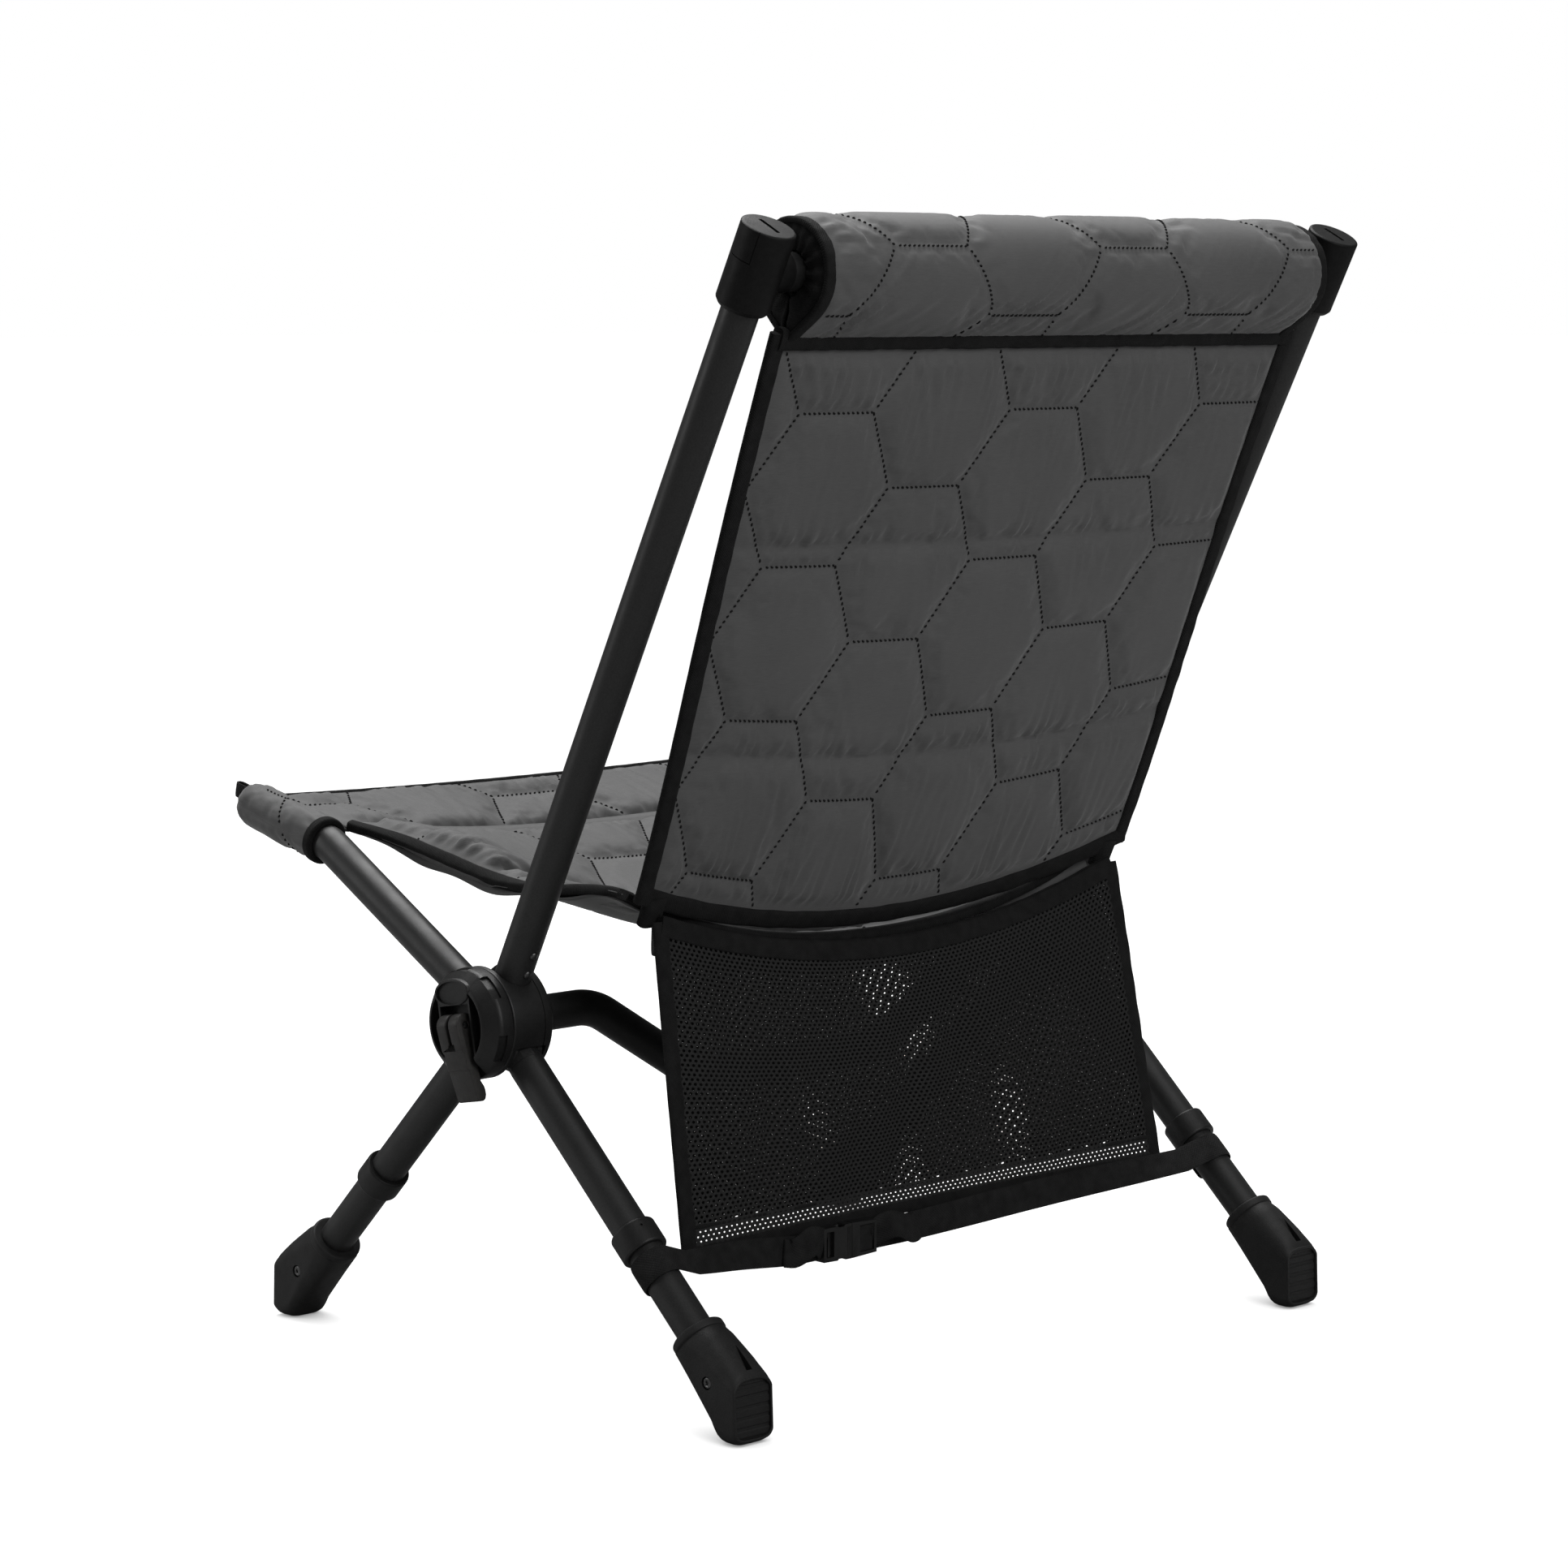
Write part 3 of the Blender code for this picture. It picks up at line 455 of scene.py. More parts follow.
def reshaded(made, sharp):
    """Smooth shading, with edges sharper than an angle left sharp."""
    made.data.shade_smooth()
    made.data.set_sharp_from_angle(angle=radians(sharp))
    return made


def cut(made, *tools, operation="DIFFERENCE"):
    """Boolean of a piece with others, which are used up."""
    for tool in tools:
        step = made.modifiers.new("cut", "BOOLEAN")
        step.operation = operation
        step.solver = "EXACT"
        step.object = tool
        applied(made)
        bpy.data.objects.remove(tool)
    return made


def softened(made, width, segments=3, angle=35):
    """Rounds a piece's sharp edges."""
    step = made.modifiers.new("edges", "BEVEL")
    step.width = width
    step.segments = segments
    step.limit_method = "ANGLE"
    step.angle_limit = radians(angle)
    step.harden_normals = False
    return reshaded(applied(made), 40)


# ---------------------------------------------------------------- tubes
def side_tubes(name, side):
    for kind, angle, body in (("upright", UPRIGHT_ANGLE, "back_frame"), *LEGS):
        node = kind if kind == "upright" else kind + "_leg"
        start, end = reach(node + "_left", angle)
        made = tube("%s_%s_tube" % (node, name), [spot(angle, start), spot(angle, end)])
        shown(mirrored(made, side), body, "tube_paint", "%s_%s" % (node, name))
    start, _ = reach("seat_pole_left", SEAT_ANGLE)
    corners = [spot(SEAT_ANGLE, start), POLE_BEND, POLE_BEND + direction(NOSE_ANGLE) * (90 * MM)]
    pole = tube("seat_pole_%s_tube" % name, rounded_path(corners, POLE_BEND_R))
    shown(mirrored(pole, side), "seat_frame", "tube_paint", "seat_pole_" + name)


def cross_tubes():
    """Lower cross tube, bent down between the hubs, and the straight one inside the bolster."""
    drop = 62 * MM
    half = [(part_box("crossbar")[1].x, HUB.z), (188 * MM, HUB.z), (88 * MM, HUB.z - drop)]
    corners = [Vector((x, HUB.y, z)) for x, z in half + [(-x, z) for x, z in reversed(half)]]
    shown(tube("crossbar_tube", rounded_path(corners, 50 * MM, 14)), "back_frame", "tube_paint", "crossbar")
    at = box_middle("top_crossbar")
    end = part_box("top_crossbar")[1].x
    path = [Vector((end, at.y, at.z)), Vector((-end, at.y, at.z))]
    shown(tube("top_crossbar_tube", path), "back_frame", "tube_paint", "top_crossbar")


for side_name, side_sign in SIDES:
    side_tubes(side_name, side_sign)
cross_tubes()


# ---------------------------------------------------------------- hub
HOUSING_IN, HOUSING_OUT, HUB_R = -17, 16.8, 38     # millimetres
BADGE_DOWN = -22.2            # place of the blank badge, millimetres down from the hub's centre
SOCKET_FROM = 19.7 * MM       # distance of a fixed tube's end from the hub's centre
PIVOT_R = 26 * MM
DOWN = direction(270 - LEVER_TILT)
WIDE = OUT.cross(DOWN)        # along the lever's pin, towards the back


def on_cap(across, down, x):
    """Point from the hub's centre, in millimetres: along the lever's pin, down its blade, outward."""
    return HUB + WIDE * (across * MM) + DOWN * (down * MM) + OUT * (x * MM)


def sweep_outline(start, stop, wall_angle):
    """Outline of the space that a folding tube sweeps inside the hub, up to the fixed tube's axis."""
    pivot = spot(start, PIVOT_R)
    reach_out, clear, steps = 52 * MM, 12.9 * MM, 12
    edge = pivot + direction(start - 90) * clear
    outline = [edge, edge + direction(start) * reach_out]
    outline += [spot(start + (wall_angle - start) * i / steps, reach_out) for i in range(steps + 1)]
    outline.append(spot(wall_angle, SOCKET_FROM))
    turn_from, turn_to = stop + 90, start + 270
    outline += [pivot + direction(turn_from + (turn_to - turn_from) * i / steps) * clear for i in range(steps)]
    return [point - OUT * HUB.x for point in outline]


def drum(name, start, axis, low, high, radius, sides=48):
    return turned(name, start, axis, ((radius, low), (radius, high)), PLASTIC, sides)


def hub_housing(name, side):
    """Hub's body with sockets for the fixed tubes and the spaces that the folding ones sweep."""
    profile = mm((30, HOUSING_IN), (HUB_R, HOUSING_IN), (HUB_R, HOUSING_OUT), (30, HOUSING_OUT))
    body = turned("hub_housing_%s_shell" % name, HUB, OUT, eased(profile, 1.6 * MM, 4), PLASTIC, 96)
    half = 12.8 * MM
    for start, stop, wall in ((SEAT_ANGLE, SEAT_ANGLE + SEAT_SWING, UPRIGHT_ANGLE),
                              (REAR_LEG_ANGLE, REAR_LEG_ANGLE + REAR_SWING, FRONT_LEG_ANGLE + 360)):
        cut(body, prism("space", sweep_outline(start, stop, wall), HUB.x - half, HUB.x + half, OUT, PLASTIC))
    for angle in (UPRIGHT_ANGLE, FRONT_LEG_ANGLE):
        cut(body, drum("socket", spot(angle, 0), direction(angle), SOCKET_FROM, 50 * MM, 12.7 * MM, 64))
    for angle in (SEAT_ANGLE, REAR_LEG_ANGLE):
        cut(body, drum("pin", spot(angle, PIVOT_R), OUT, -20 * MM, 20 * MM, 4.35 * MM, 32))
    groove = mm((39, -10.4), (39, -9.6), (37.4, -9.6), (37.4, -10.4))
    cut(body, turned("groove", HUB, OUT, groove, PLASTIC, 96, closed=True))
    shown(mirrored(reshaded(body, 32), side), "back_frame", "black_plastic", "hub_housing_" + name)


def cap_window(sign):
    """Lens-shaped window between the lever's recess and the cap's rim."""
    inner, radius = 16.8, 26.6
    half = degrees(atan2(sqrt(radius ** 2 - inner ** 2), inner))
    arc = [radians(-half + 2 * half * i / 16) for i in range(17)]
    outline = [on_cap(sign * radius * cos(turn), radius * sin(turn), 0) for turn in arc]
    return prism("window", outline, 30 * MM, 45 * MM, OUT, PLASTIC)


def oval(across, down, centre_down, steps=40):
    turns = [2 * pi * i / steps for i in range(steps)]
    return [on_cap(across * cos(turn), centre_down + down * sin(turn), 0) for turn in turns]


def rim_notch(middle, spread_angle):
    """Shallow recess in the cap's side, centred at an angle from the cap's upward axis."""
    turns = [radians(middle - spread_angle / 2 + spread_angle * i / 10) for i in range(11)]
    outline = []
    for radius, order in ((36.4, turns), (42, turns[::-1])):
        outline += [on_cap(radius * sin(turn), -radius * cos(turn), 0) for turn in order]
    return prism("notch", outline, 22.5 * MM, 31 * MM, OUT, PLASTIC)


def hub_cap(name, side):
    """Hub's outer cap: recess for the lever, two windows, rim notches and a blank badge."""
    profile = mm((30, 17.1), (HUB_R, 17.1), (HUB_R, 26.5), (37.2, 28.2), (29.4, 35.8), (27.6, 36.6),
                 (26.6, 36.6), (26.2, 35.9), (0.4, 36.5))
    cap = turned("hub_cap_%s_shell" % name, HUB, OUT, eased(profile, 0.9 * MM, 4), PLASTIC, 96)
    boss = prism("boss", oval(18.3, 9.6, BADGE_DOWN), 28 * MM, 37.0 * MM, OUT, PLASTIC)
    cut(cap, softened(boss, 0.8 * MM), operation="UNION")
    cut(cap, prism("dish", oval(16.4, 7.7, BADGE_DOWN), 35.2 * MM, 45 * MM, OUT, PLASTIC))
    for sign in (1, -1):
        cut(cap, cap_window(sign))
    for middle in (0, 52, -52, 121, -121):
        cut(cap, rim_notch(middle, 30))
    band = [on_cap(across, down, 0) for across, down in ((-15, -13.8), (15, -13.8), (15, 50), (-15, 50))]
    cut(cap, prism("recess", band, 27.5 * MM, 60 * MM, OUT, PLASTIC))
    cut(cap, drum("bore", HUB, OUT, 10 * MM, 30 * MM, 4.4 * MM, 32))
    cap = softened(cap, 0.35 * MM, 2, 40)
    shown(mirrored(cap, side), "back_frame", "black_plastic", "hub_cap_" + name)


def cam_lever(name, side):
    """Cam lever: two round knuckles on the pin, and a blade with two cross steps that leans inward."""
    pin_x, knuckle = 36.5, 8.0
    turns = [radians(135 + 225 * i / 20) for i in range(21)]
    rounding = [(pin_x + knuckle * cos(turn), knuckle * sin(turn)) for turn in turns]
    blade = [(43.6, 8), (42.3, 16.6), (41.9, 17.2), (40.7, 18.6), (40.3, 19.2), (39.6, 29.4), (39.4, 29.9),
             (38.6, 30.4), (38.3, 30.8), (34.4, 50.2), (33.8, 51.3), (32.6, 52), (29.4, 52), (27.4, 50.8),
             (26.5, 48), (26.6, 45), (27.4, 42), (29.5, 38.5), (31, 20), (31.4, 9)]

    def slab(label, outline, half):
        outline = [on_cap(0, down, x) for x, down in outline]
        return prism(label, outline, -half * MM, half * MM, WIDE, LEVER, 20)

    lever = slab("cam_lever_%s_body" % name, rounding + blade, 11)
    cut(lever, slab("cutter", ((20, -12), (20, 13), (50, 13), (50, -12)), 1.5))
    cut(lever, slab("cutter", ((20, 12.6), (20, 16), (50, 16), (50, 12.6)), 2.9))
    at = HUB + OUT * (pin_x * MM)
    cut(lever, drum("bore", at, WIDE, -13 * MM, 13 * MM, 2.35 * MM, 32))
    lever = softened(lever, 0.7 * MM, 3, 38)
    shown(mirrored(lever, side), "lever_" + name, "lever_plastic", "cam_lever_" + name)


def crossbar_collar(name, side):
    profile = mm((5, 17.3), (19.4, 17.3), (19.4, 22.4), (16.4, 24.2), (15.8, 33), (14.6, 37), (12.7, 37),
                 (12.7, 20.5), (5, 20.5))
    collar = turned("crossbar_collar_%s_ring" % name, HUB, -OUT, eased_loop(profile, 0.8 * MM), PLASTIC, 72,
                    closed=True)
    shown(mirrored(collar, side), "back_frame", "black_plastic", "crossbar_collar_" + name)


# ---------------------------------------------------------------- upper ends, rings and rivets
def top_cap(name, side):
    """Cap on an upright's head: a boss for the top cross tube, a slot on top and a panel line."""
    up, back = direction(UPRIGHT_ANGLE), direction(UPRIGHT_ANGLE + 90)
    base = spot(UPRIGHT_ANGLE, 0)
    low, high = reach("top_cap_left", UPRIGHT_ANGLE)
    radius = 18 * MM
    profile = ((12.6 * MM, low + 3 * MM), (12.6 * MM, low), (15.6 * MM, low), (radius, low + 3.2 * MM),
               (radius, high - 0.8 * MM), (16.6 * MM, high), (0.4 * MM, high + 0.2 * MM))
    cap = turned("top_cap_%s_body" % name, base, up, eased(profile, 0.7 * MM, 4), CAP_PLASTIC, 96)
    bar_at = (box_middle("top_crossbar") - HUB).dot(up)
    boss = eased(mm((10, 12), (13.6, 12), (13.6, 24), (10, 24)))
    cut(cap, turned("boss", spot(UPRIGHT_ANGLE, bar_at), -OUT, boss, PLASTIC, 64), operation="UNION")
    top = base + up * (high - 1.6 * MM) - OUT * HUB.x
    near, far, deep = top + back * (9.5 * MM), top - back * (9.5 * MM), up * (6 * MM)
    slot = [near, near + deep, far + deep, far]
    cut(cap, prism("slot", slot, HUB.x - 1.5 * MM, HUB.x + 1.5 * MM, OUT, PLASTIC))
    turns = [radians(-100 + 130 * i / 20) for i in range(21)]
    line = base + up * (high - 22 * MM)
    arc = [line + (OUT * cos(turn) + back * sin(turn)) * (r * MM)
           for r, order in ((17.3, turns), (19, turns[::-1])) for turn in order]
    cut(cap, prism("panel_line", arc, 0, 0.6 * MM, up, PLASTIC))
    edge = radians(30)
    radial, around = OUT * cos(edge) + back * sin(edge), back * cos(edge) - OUT * sin(edge)
    step = [line + radial * r + around * w for r, w in mm((17.3, 0), (19, 0), (19, 0.6), (17.3, 0.6))]
    cut(cap, prism("panel_edge", step, 0, 30 * MM, up, PLASTIC))
    shown(mirrored(reshaded(cap, 32), side), "back_frame", "black_plastic", "top_cap_" + name)


def rivets(name, side):
    up, back = direction(UPRIGHT_ANGLE), direction(UPRIGHT_ANGLE + 90)
    profile = [(0.2 * MM, TUBE_R + 1.7 * MM)]
    profile += [(3.0 * MM * sin(turn), TUBE_R + 0.2 * MM + 1.5 * MM * cos(turn))
                for turn in (radians(15 * i) for i in range(1, 7))]
    profile.append((3.0 * MM, TUBE_R - 0.6 * MM))
    for number in (1, 2):
        along = (box_middle("upright_rivet_left_%d" % number) - HUB).dot(up)
        node = "upright_rivet_%s_%d" % (name, number)
        head = turned(node + "_head", spot(UPRIGHT_ANGLE, along), back, profile, STEEL, 32)
        shown(mirrored(head, side), "back_frame", "dark_steel", node)


def leg_ring(kind, name, side, angle, body):
    node = "%s_ring_%s" % (kind, name)
    along = direction(angle)
    middle = (box_middle("%s_ring_left" % kind) - HUB).dot(along)
    profile = mm((12.6, -9.6), (15.2, -9.6), (16, -8.4), (16, 8.4), (15.2, 9.6), (12.6, 9.6))
    band = turned(node + "_band", spot(angle, middle), along, eased_loop(profile, 0.5 * MM), PLASTIC, 72,
                  closed=True)
    above = direction(angle - 90 if kind == "rear" else angle + 90)
    hint = (above + OUT * 0.3).normalized()
    cut(band, drum("pin_mark", spot(angle, middle - 3.5 * MM), hint, 14.8 * MM, 18 * MM, 0.9 * MM, 16))
    shown(mirrored(reshaded(band, 32), side), body, "black_plastic", node)


# ---------------------------------------------------------------- feet
SOLE = ((-11.5, 47.2), (6, 30), (26, 10), (31, 2.6), (36, 0), (47.5, 0), (51.2, 2.2))
INSTEP = ((11.5, 72.8), (21, 68.5), (30, 62), (38, 56), (44, 51), (47.5, 47.5), (49.6, 44.2))
HEEL_HALF, TOE_HALF, TOE_HEIGHT_HALF = 17.2, 17.6, 21


def walk(points, share):
    """Point at a share of an open line's length."""
    lengths = [sqrt((b[0] - a[0]) ** 2 + (b[1] - a[1]) ** 2) for a, b in zip(points, points[1:])]
    left = share * sum(lengths)
    for (a, b), size in zip(zip(points, points[1:]), lengths):
        if left <= size or (a, b) == (points[-2], points[-1]):
            t = min(left / size, 1)
            return a[0] + (b[0] - a[0]) * t, a[1] + (b[1] - a[1]) * t
        left -= size


def d_shape(turn, half, exponent):
    """Point of a rounded outline with a flatter lower side, from -1 to 1 in height."""
    c, s = cos(turn), sin(turn)
    lower = exponent + 1.6 if s < 0 else exponent
    across = half * abs(c) ** (2 / lower) * (1 if c > 0 else -1)
    return across, abs(s) ** (2 / exponent) * (1 if s > 0 else -1)


def foot_section(share, sides=64):
    """Outline of the boot at a share of its length: points across, ahead and up."""
    low, high = walk(SOLE, share), walk(INSTEP, share)
    half = HEEL_HALF + (TOE_HALF + 0.9 - HEEL_HALF) * min(share * 1.5, 1)
    exponent = 2.0 + 1.3 * share ** 1.3
    flat = HEEL_HALF if share < 0.12 else 16.9
    points = []
    for i in range(sides):
        across, height = d_shape(2 * pi * i / sides, half, exponent)
        t = (height + 1) / 2
        across = max(min(across, flat), -flat)
        points.append((across, low[0] + (high[0] - low[0]) * t, low[1] + (high[1] - low[1]) * t))
    return points


def toe_rows(inset, rows, columns, depth):
    """Grid of points over the toe's face, ribbed across, a little inside its outline."""
    low, high = walk(SOLE, 1), walk(INSTEP, 1)
    exponent = 3.3
    points = []
    for i in range(rows):
        height = -1 + 2 * i / (rows - 1)
        height *= 1 - inset / TOE_HEIGHT_HALF
        inside = 1 - min(abs(height), 0.9999) ** exponent
        across = (TOE_HALF - inset) * inside ** (1 / (exponent + (1.6 if height < 0 else 0)))
        t = (height + 1) / 2
        groove = 0.5 + 0.5 * cos(2 * pi * (height + 0.92) * 3.05)
        sunk = depth + 1.1 * max(0.0, groove - 0.62) / 0.38
        for j in range(columns):
            side_share = -1 + 2 * j / (columns - 1)
            points.append((across * side_share, low[0] + (high[0] - low[0]) * t - sunk,
                           low[1] + (high[1] - low[1]) * t))
    return points


def foot(kind, name, side, angle, body):
    """Boot-shaped foot with a collar round the leg, a ribbed toe and a cross screw."""
    node = "%s_foot_%s" % (kind, name)
    heading = 1 if direction(angle).y > 0 else -1
    collar = spot(angle, ankle(angle))

    def place_point(point):
        across, ahead, height = point
        return Vector((HUB.x + across * MM, collar.y + heading * ahead * MM, height * MM))

    shares = [0.0, 0.05] + [0.1 + 0.9 * i / 22 for i in range(23)]
    rings = [[place_point(point) for point in foot_section(share)] for share in shares]
    last = foot_section(1.0)
    middle_height = (walk(SOLE, 1)[1] + walk(INSTEP, 1)[1]) / 2
    for inset, out_by in ((0.35, 0.7), (1.0, 1.0), (1.9, 0.7), (2.2, -1.6)):
        across_by, height_by = 1 - inset / TOE_HALF, 1 - inset / TOE_HEIGHT_HALF
        rings.append([place_point((across * across_by, ahead + out_by,
                                   middle_height + (height - middle_height) * height_by))
                      for across, ahead, height in last])
    boot = outward(new_object("boot", *stacked(rings), RUBBER, 28))
    lip = eased(mm((13, -4), (17.4, -4), (18.6, -3), (18.6, 1.6), (17.2, 2.4), (16.2, 3.2), (16.2, 4.2),
                   (12, 8)))
    cut(boot, turned("lip", collar, direction(angle), lip, RUBBER, 64), operation="UNION")
    screw = box_middle("%s_foot_left_screw" % kind)
    screw.x = HUB.x
    cut(boot, drum("screw_seat", screw, OUT, 14.6 * MM, 22 * MM, 4.4 * MM, 40))
    top_a, top_b = walk(INSTEP, 0.42), walk(INSTEP, 0.93)
    notch = [(top_a[0], top_a[1] + 1), (top_b[0], top_b[1] + 3), (top_b[0] - 3.5, top_b[1] - 4.5)]
    notch = [place_point((0, *point)) - OUT * HUB.x for point in notch]
    cut(boot, prism("instep_slot", notch, HUB.x - 2.6 * MM, HUB.x + 2.6 * MM, OUT, RUBBER))
    reshaded(boot, 26)
    boot.name = node + "_boot"
    rows, columns = 90, 14
    face_points = [place_point(point) for point in toe_rows(1.7, rows, columns, 0.9)]
    face_points += [point - Vector((0, heading * 3 * MM, 0)) for point in face_points]
    toe = outward(new_object(node + "_toe", face_points, layer_faces(rows, columns), RUBBER, 30))
    shown(mirrored(toe, side), body, "foot_rubber")
    shown(mirrored(boot, side), body, "foot_rubber", node)
    head = eased(mm((0.3, 14.7), (3.9, 14.7), (3.9, 15.6), (3.3, 16.3), (0.3, 16.6)), 0.3 * MM)
    screw_head = turned(node + "_screw_head", screw, OUT, head, STEEL, 32)
    cut(screw_head, turned("key", screw, OUT, mm((1.5, 15.4), (1.5, 18)), STEEL, 6))
    shown(mirrored(screw_head, side), body, "dark_steel", node + "_screw")


def hard_parts(name, side):
    for build in (hub_housing, hub_cap, cam_lever, crossbar_collar, top_cap, rivets):
        build(name, side)
    for kind, angle, body in LEGS:
        leg_ring(kind, name, side, angle, body)
        foot(kind, name, side, angle, body)


for side_name, side_sign in SIDES:
    hard_parts(side_name, side_sign)

# The small metal pieces inside the hubs keep their CAD shapes.
for node_name, node_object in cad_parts.items():
    if any(part in node_name for part in ("_pin_", "cam_bolt", "bolt_nut")):
        finish = STEEL
    elif "_lug_" in node_name:
        finish = PAINT
    else:
        continue
    for index in range(len(node_object.material_slots)):
        node_object.material_slots[index].material = finish


# ---------------------------------------------------------------- quilted cloth
SIM_CELL = 5 * MM              # grid of the simulated cloth
FINE_CELL = 2.5 * MM           # grid of the finished panels
PERIOD_ACROSS = 190.5 * MM     # honeycomb of stitched lines
PERIOD_DOWN = 106 * MM
EDGE_HALF = 32.5 * MM          # half of a honeycomb's level edge
FOLD_SPACING = 144.5 * MM      # seams straight across a panel
PUFF_CAP = 2.6 * MM            # highest puff between the lines
UNDER_TAPE = 9 * MM            # margin that the binding covers
STITCH_PITCH, STITCH_LENGTH = 4.2 * MM, 2.5 * MM


def honeycomb(half, length, across_from, down_from):
    """Stitched lines on a flat panel as (x, s, x, s): level edges, joined by slanted ones."""
    lines = []
    for row in range(-2, int(length / PERIOD_DOWN * 2) + 3):
        s = down_from + row * PERIOD_DOWN / 2
        for column in range(-3, 4):
            x = across_from + (column + (0.5 if row % 2 else 0)) * PERIOD_ACROSS
            lines.append((x - EDGE_HALF, s, x + EDGE_HALF, s))
            for sign in (1, -1):
                lines.append((x + sign * EDGE_HALF, s, x + sign * (PERIOD_ACROSS / 2 - EDGE_HALF),
                              s + PERIOD_DOWN / 2))
    return [line for line in lines if max(line[1], line[3]) > 0 and min(line[1], line[3]) < length
            and max(line[0], line[2]) > -half and min(line[0], line[2]) < half]


def seam_distance(x, s, lines):
    """Distance of flat points from the nearest stitched line."""
    nearest = np.full(np.shape(x), 1.0)
    for x0, s0, x1, s1 in lines:
        dx, ds = x1 - x0, s1 - s0
        t = np.clip(((x - x0) * dx + (s - s0) * ds) / (dx * dx + ds * ds), 0, 1)
        nearest = np.minimum(nearest, np.hypot(x - x0 - t * dx, s - s0 - t * ds))
    return nearest


def flat_grid(half, length, cell):
    """Flat places x and s of a panel's grid of cells of about a given size."""
    columns, rows = int(2 * half / cell) + 1, int(length / cell) + 1
    return np.meshgrid(np.linspace(-half, half, columns), np.linspace(0, length, rows))


def puffed(half, length, lines, seed):
    """Flat cloth sewn along the lines and blown up between them: a coarse grid's displacement (x, s, height)."""
    columns, rows = int(round(2 * half / SIM_CELL)) + 1, int(round(length / SIM_CELL)) + 1
    x, s = np.meshgrid(np.linspace(-half, half, columns), np.linspace(0, length, rows))
    border = np.minimum.reduce([half - np.abs(x), s, length - s])
    gap = np.minimum(seam_distance(x, s, lines), border)
    random = np.random.default_rng(seed)
    flat = np.stack([x, s, random.uniform(0, 0.4 * MM, x.shape) * (gap > SIM_CELL * 0.6)], axis=-1)
    sheet = new_object("sim", flat.reshape(-1, 3), grid_faces(rows, columns, False), QUILT)
    pins = sheet.vertex_groups.new(name="sewn")
    held = np.nonzero((gap < SIM_CELL * 0.55).ravel())[0]
    pins.add([int(i) for i in held], 1.0, "REPLACE")
    step = sheet.modifiers.new("cloth", "CLOTH")
    settings = step.settings
    settings.quality = 6
    settings.mass = 0.12
    settings.tension_stiffness = settings.compression_stiffness = 12
    settings.shear_stiffness = 4
    settings.bending_stiffness = 0.06
    settings.shrink_min = -0.035
    settings.vertex_group_mass = "sewn"
    settings.use_pressure = True
    settings.uniform_pressure_force = 4
    settings.effector_weights.gravity = 0
    step.collision_settings.use_collision = False
    scene = bpy.context.scene
    for number in range(1, 21):
        scene.frame_set(number)
    graph = bpy.context.evaluated_depsgraph_get()
    mesh = bpy.data.meshes.new_from_object(sheet.evaluated_get(graph))
    moved = np.zeros(len(mesh.vertices) * 3)
    mesh.vertices.foreach_get("co", moved)
    bpy.data.objects.remove(sheet)
    bpy.data.meshes.remove(mesh)
    scene.frame_set(1)
    lift = moved.reshape(rows, columns, 3) - flat
    lift[..., :2] = np.clip(lift[..., :2], -1.5 * MM, 1.5 * MM)
    lift[..., 2] = PUFF_CAP * np.tanh(np.maximum(lift[..., 2], 0) / PUFF_CAP)
    return lift


def sampled(lift, half, length, x, s):
    """A coarse grid's displacement at flat points."""
    rows, columns = lift.shape[:2]
    c = np.clip((x + half) / (2 * half), 0, 1) * (columns - 1.001)
    r = np.clip(s / length, 0, 1) * (rows - 1.001)
    ci, ri = c.astype(int), r.astype(int)
    cf, rf = smooth_step((c - ci)[..., None]), smooth_step((r - ri)[..., None])
    top = lift[ri, ci] * (1 - cf) + lift[ri, ci + 1] * cf
    low = lift[ri + 1, ci] * (1 - cf) + lift[ri + 1, ci + 1] * cf
    return top * (1 - rf) + low * rf


def pressed(gap, width=4.5 * MM):
    """Share of the puff that remains at a distance from a stitched line."""
    return smooth_step(gap / width)


def gathers(along, inward, seed, wave=11 * MM, depth=22 * MM, height=0.9 * MM):
    """Short uneven wrinkles that run in from an edge."""
    random = np.random.default_rng(seed)
    total = np.zeros(np.shape(along))
    for i in range(5):
        length = wave * (0.7 + 0.25 * i)
        lean = random.uniform(-0.5, 0.5)
        phase = random.uniform(0, 2 * pi)
        patch = np.sin(2 * pi * along / (wave * random.uniform(6, 13)) + random.uniform(0, 6))
        mask = np.clip(1.5 * patch - 0.4, 0, 1)
        total += np.sin(2 * pi * (along + lean * inward) / length + phase) * mask / (1 + 0.3 * i)
    return total * height * 0.8 * np.exp(-inward / depth)


def surface_normals(points):
    down, across = np.gradient(points, axis=0), np.gradient(points, axis=1)
    normal = np.cross(across, down)
    return normal / np.maximum(np.linalg.norm(normal, axis=-1, keepdims=True), 1e-12)


def smooth_step(share):
    """Eases a share below 0 or above 1 into 0 to 1."""
    share = np.clip(share, 0, 1)
    return share * share * (3 - 2 * share)


def two_layers(name, outer, inner, flat, finish):
    """Closed thin piece from two grids of points, joined round their border."""
    points = np.concatenate([outer.reshape(-1, 3), inner.reshape(-1, 3)])
    both = np.concatenate([flat.reshape(-1, 2), flat.reshape(-1, 2)])
    return outward(new_object(name, points, layer_faces(*outer.shape[:2]), finish, None, both))


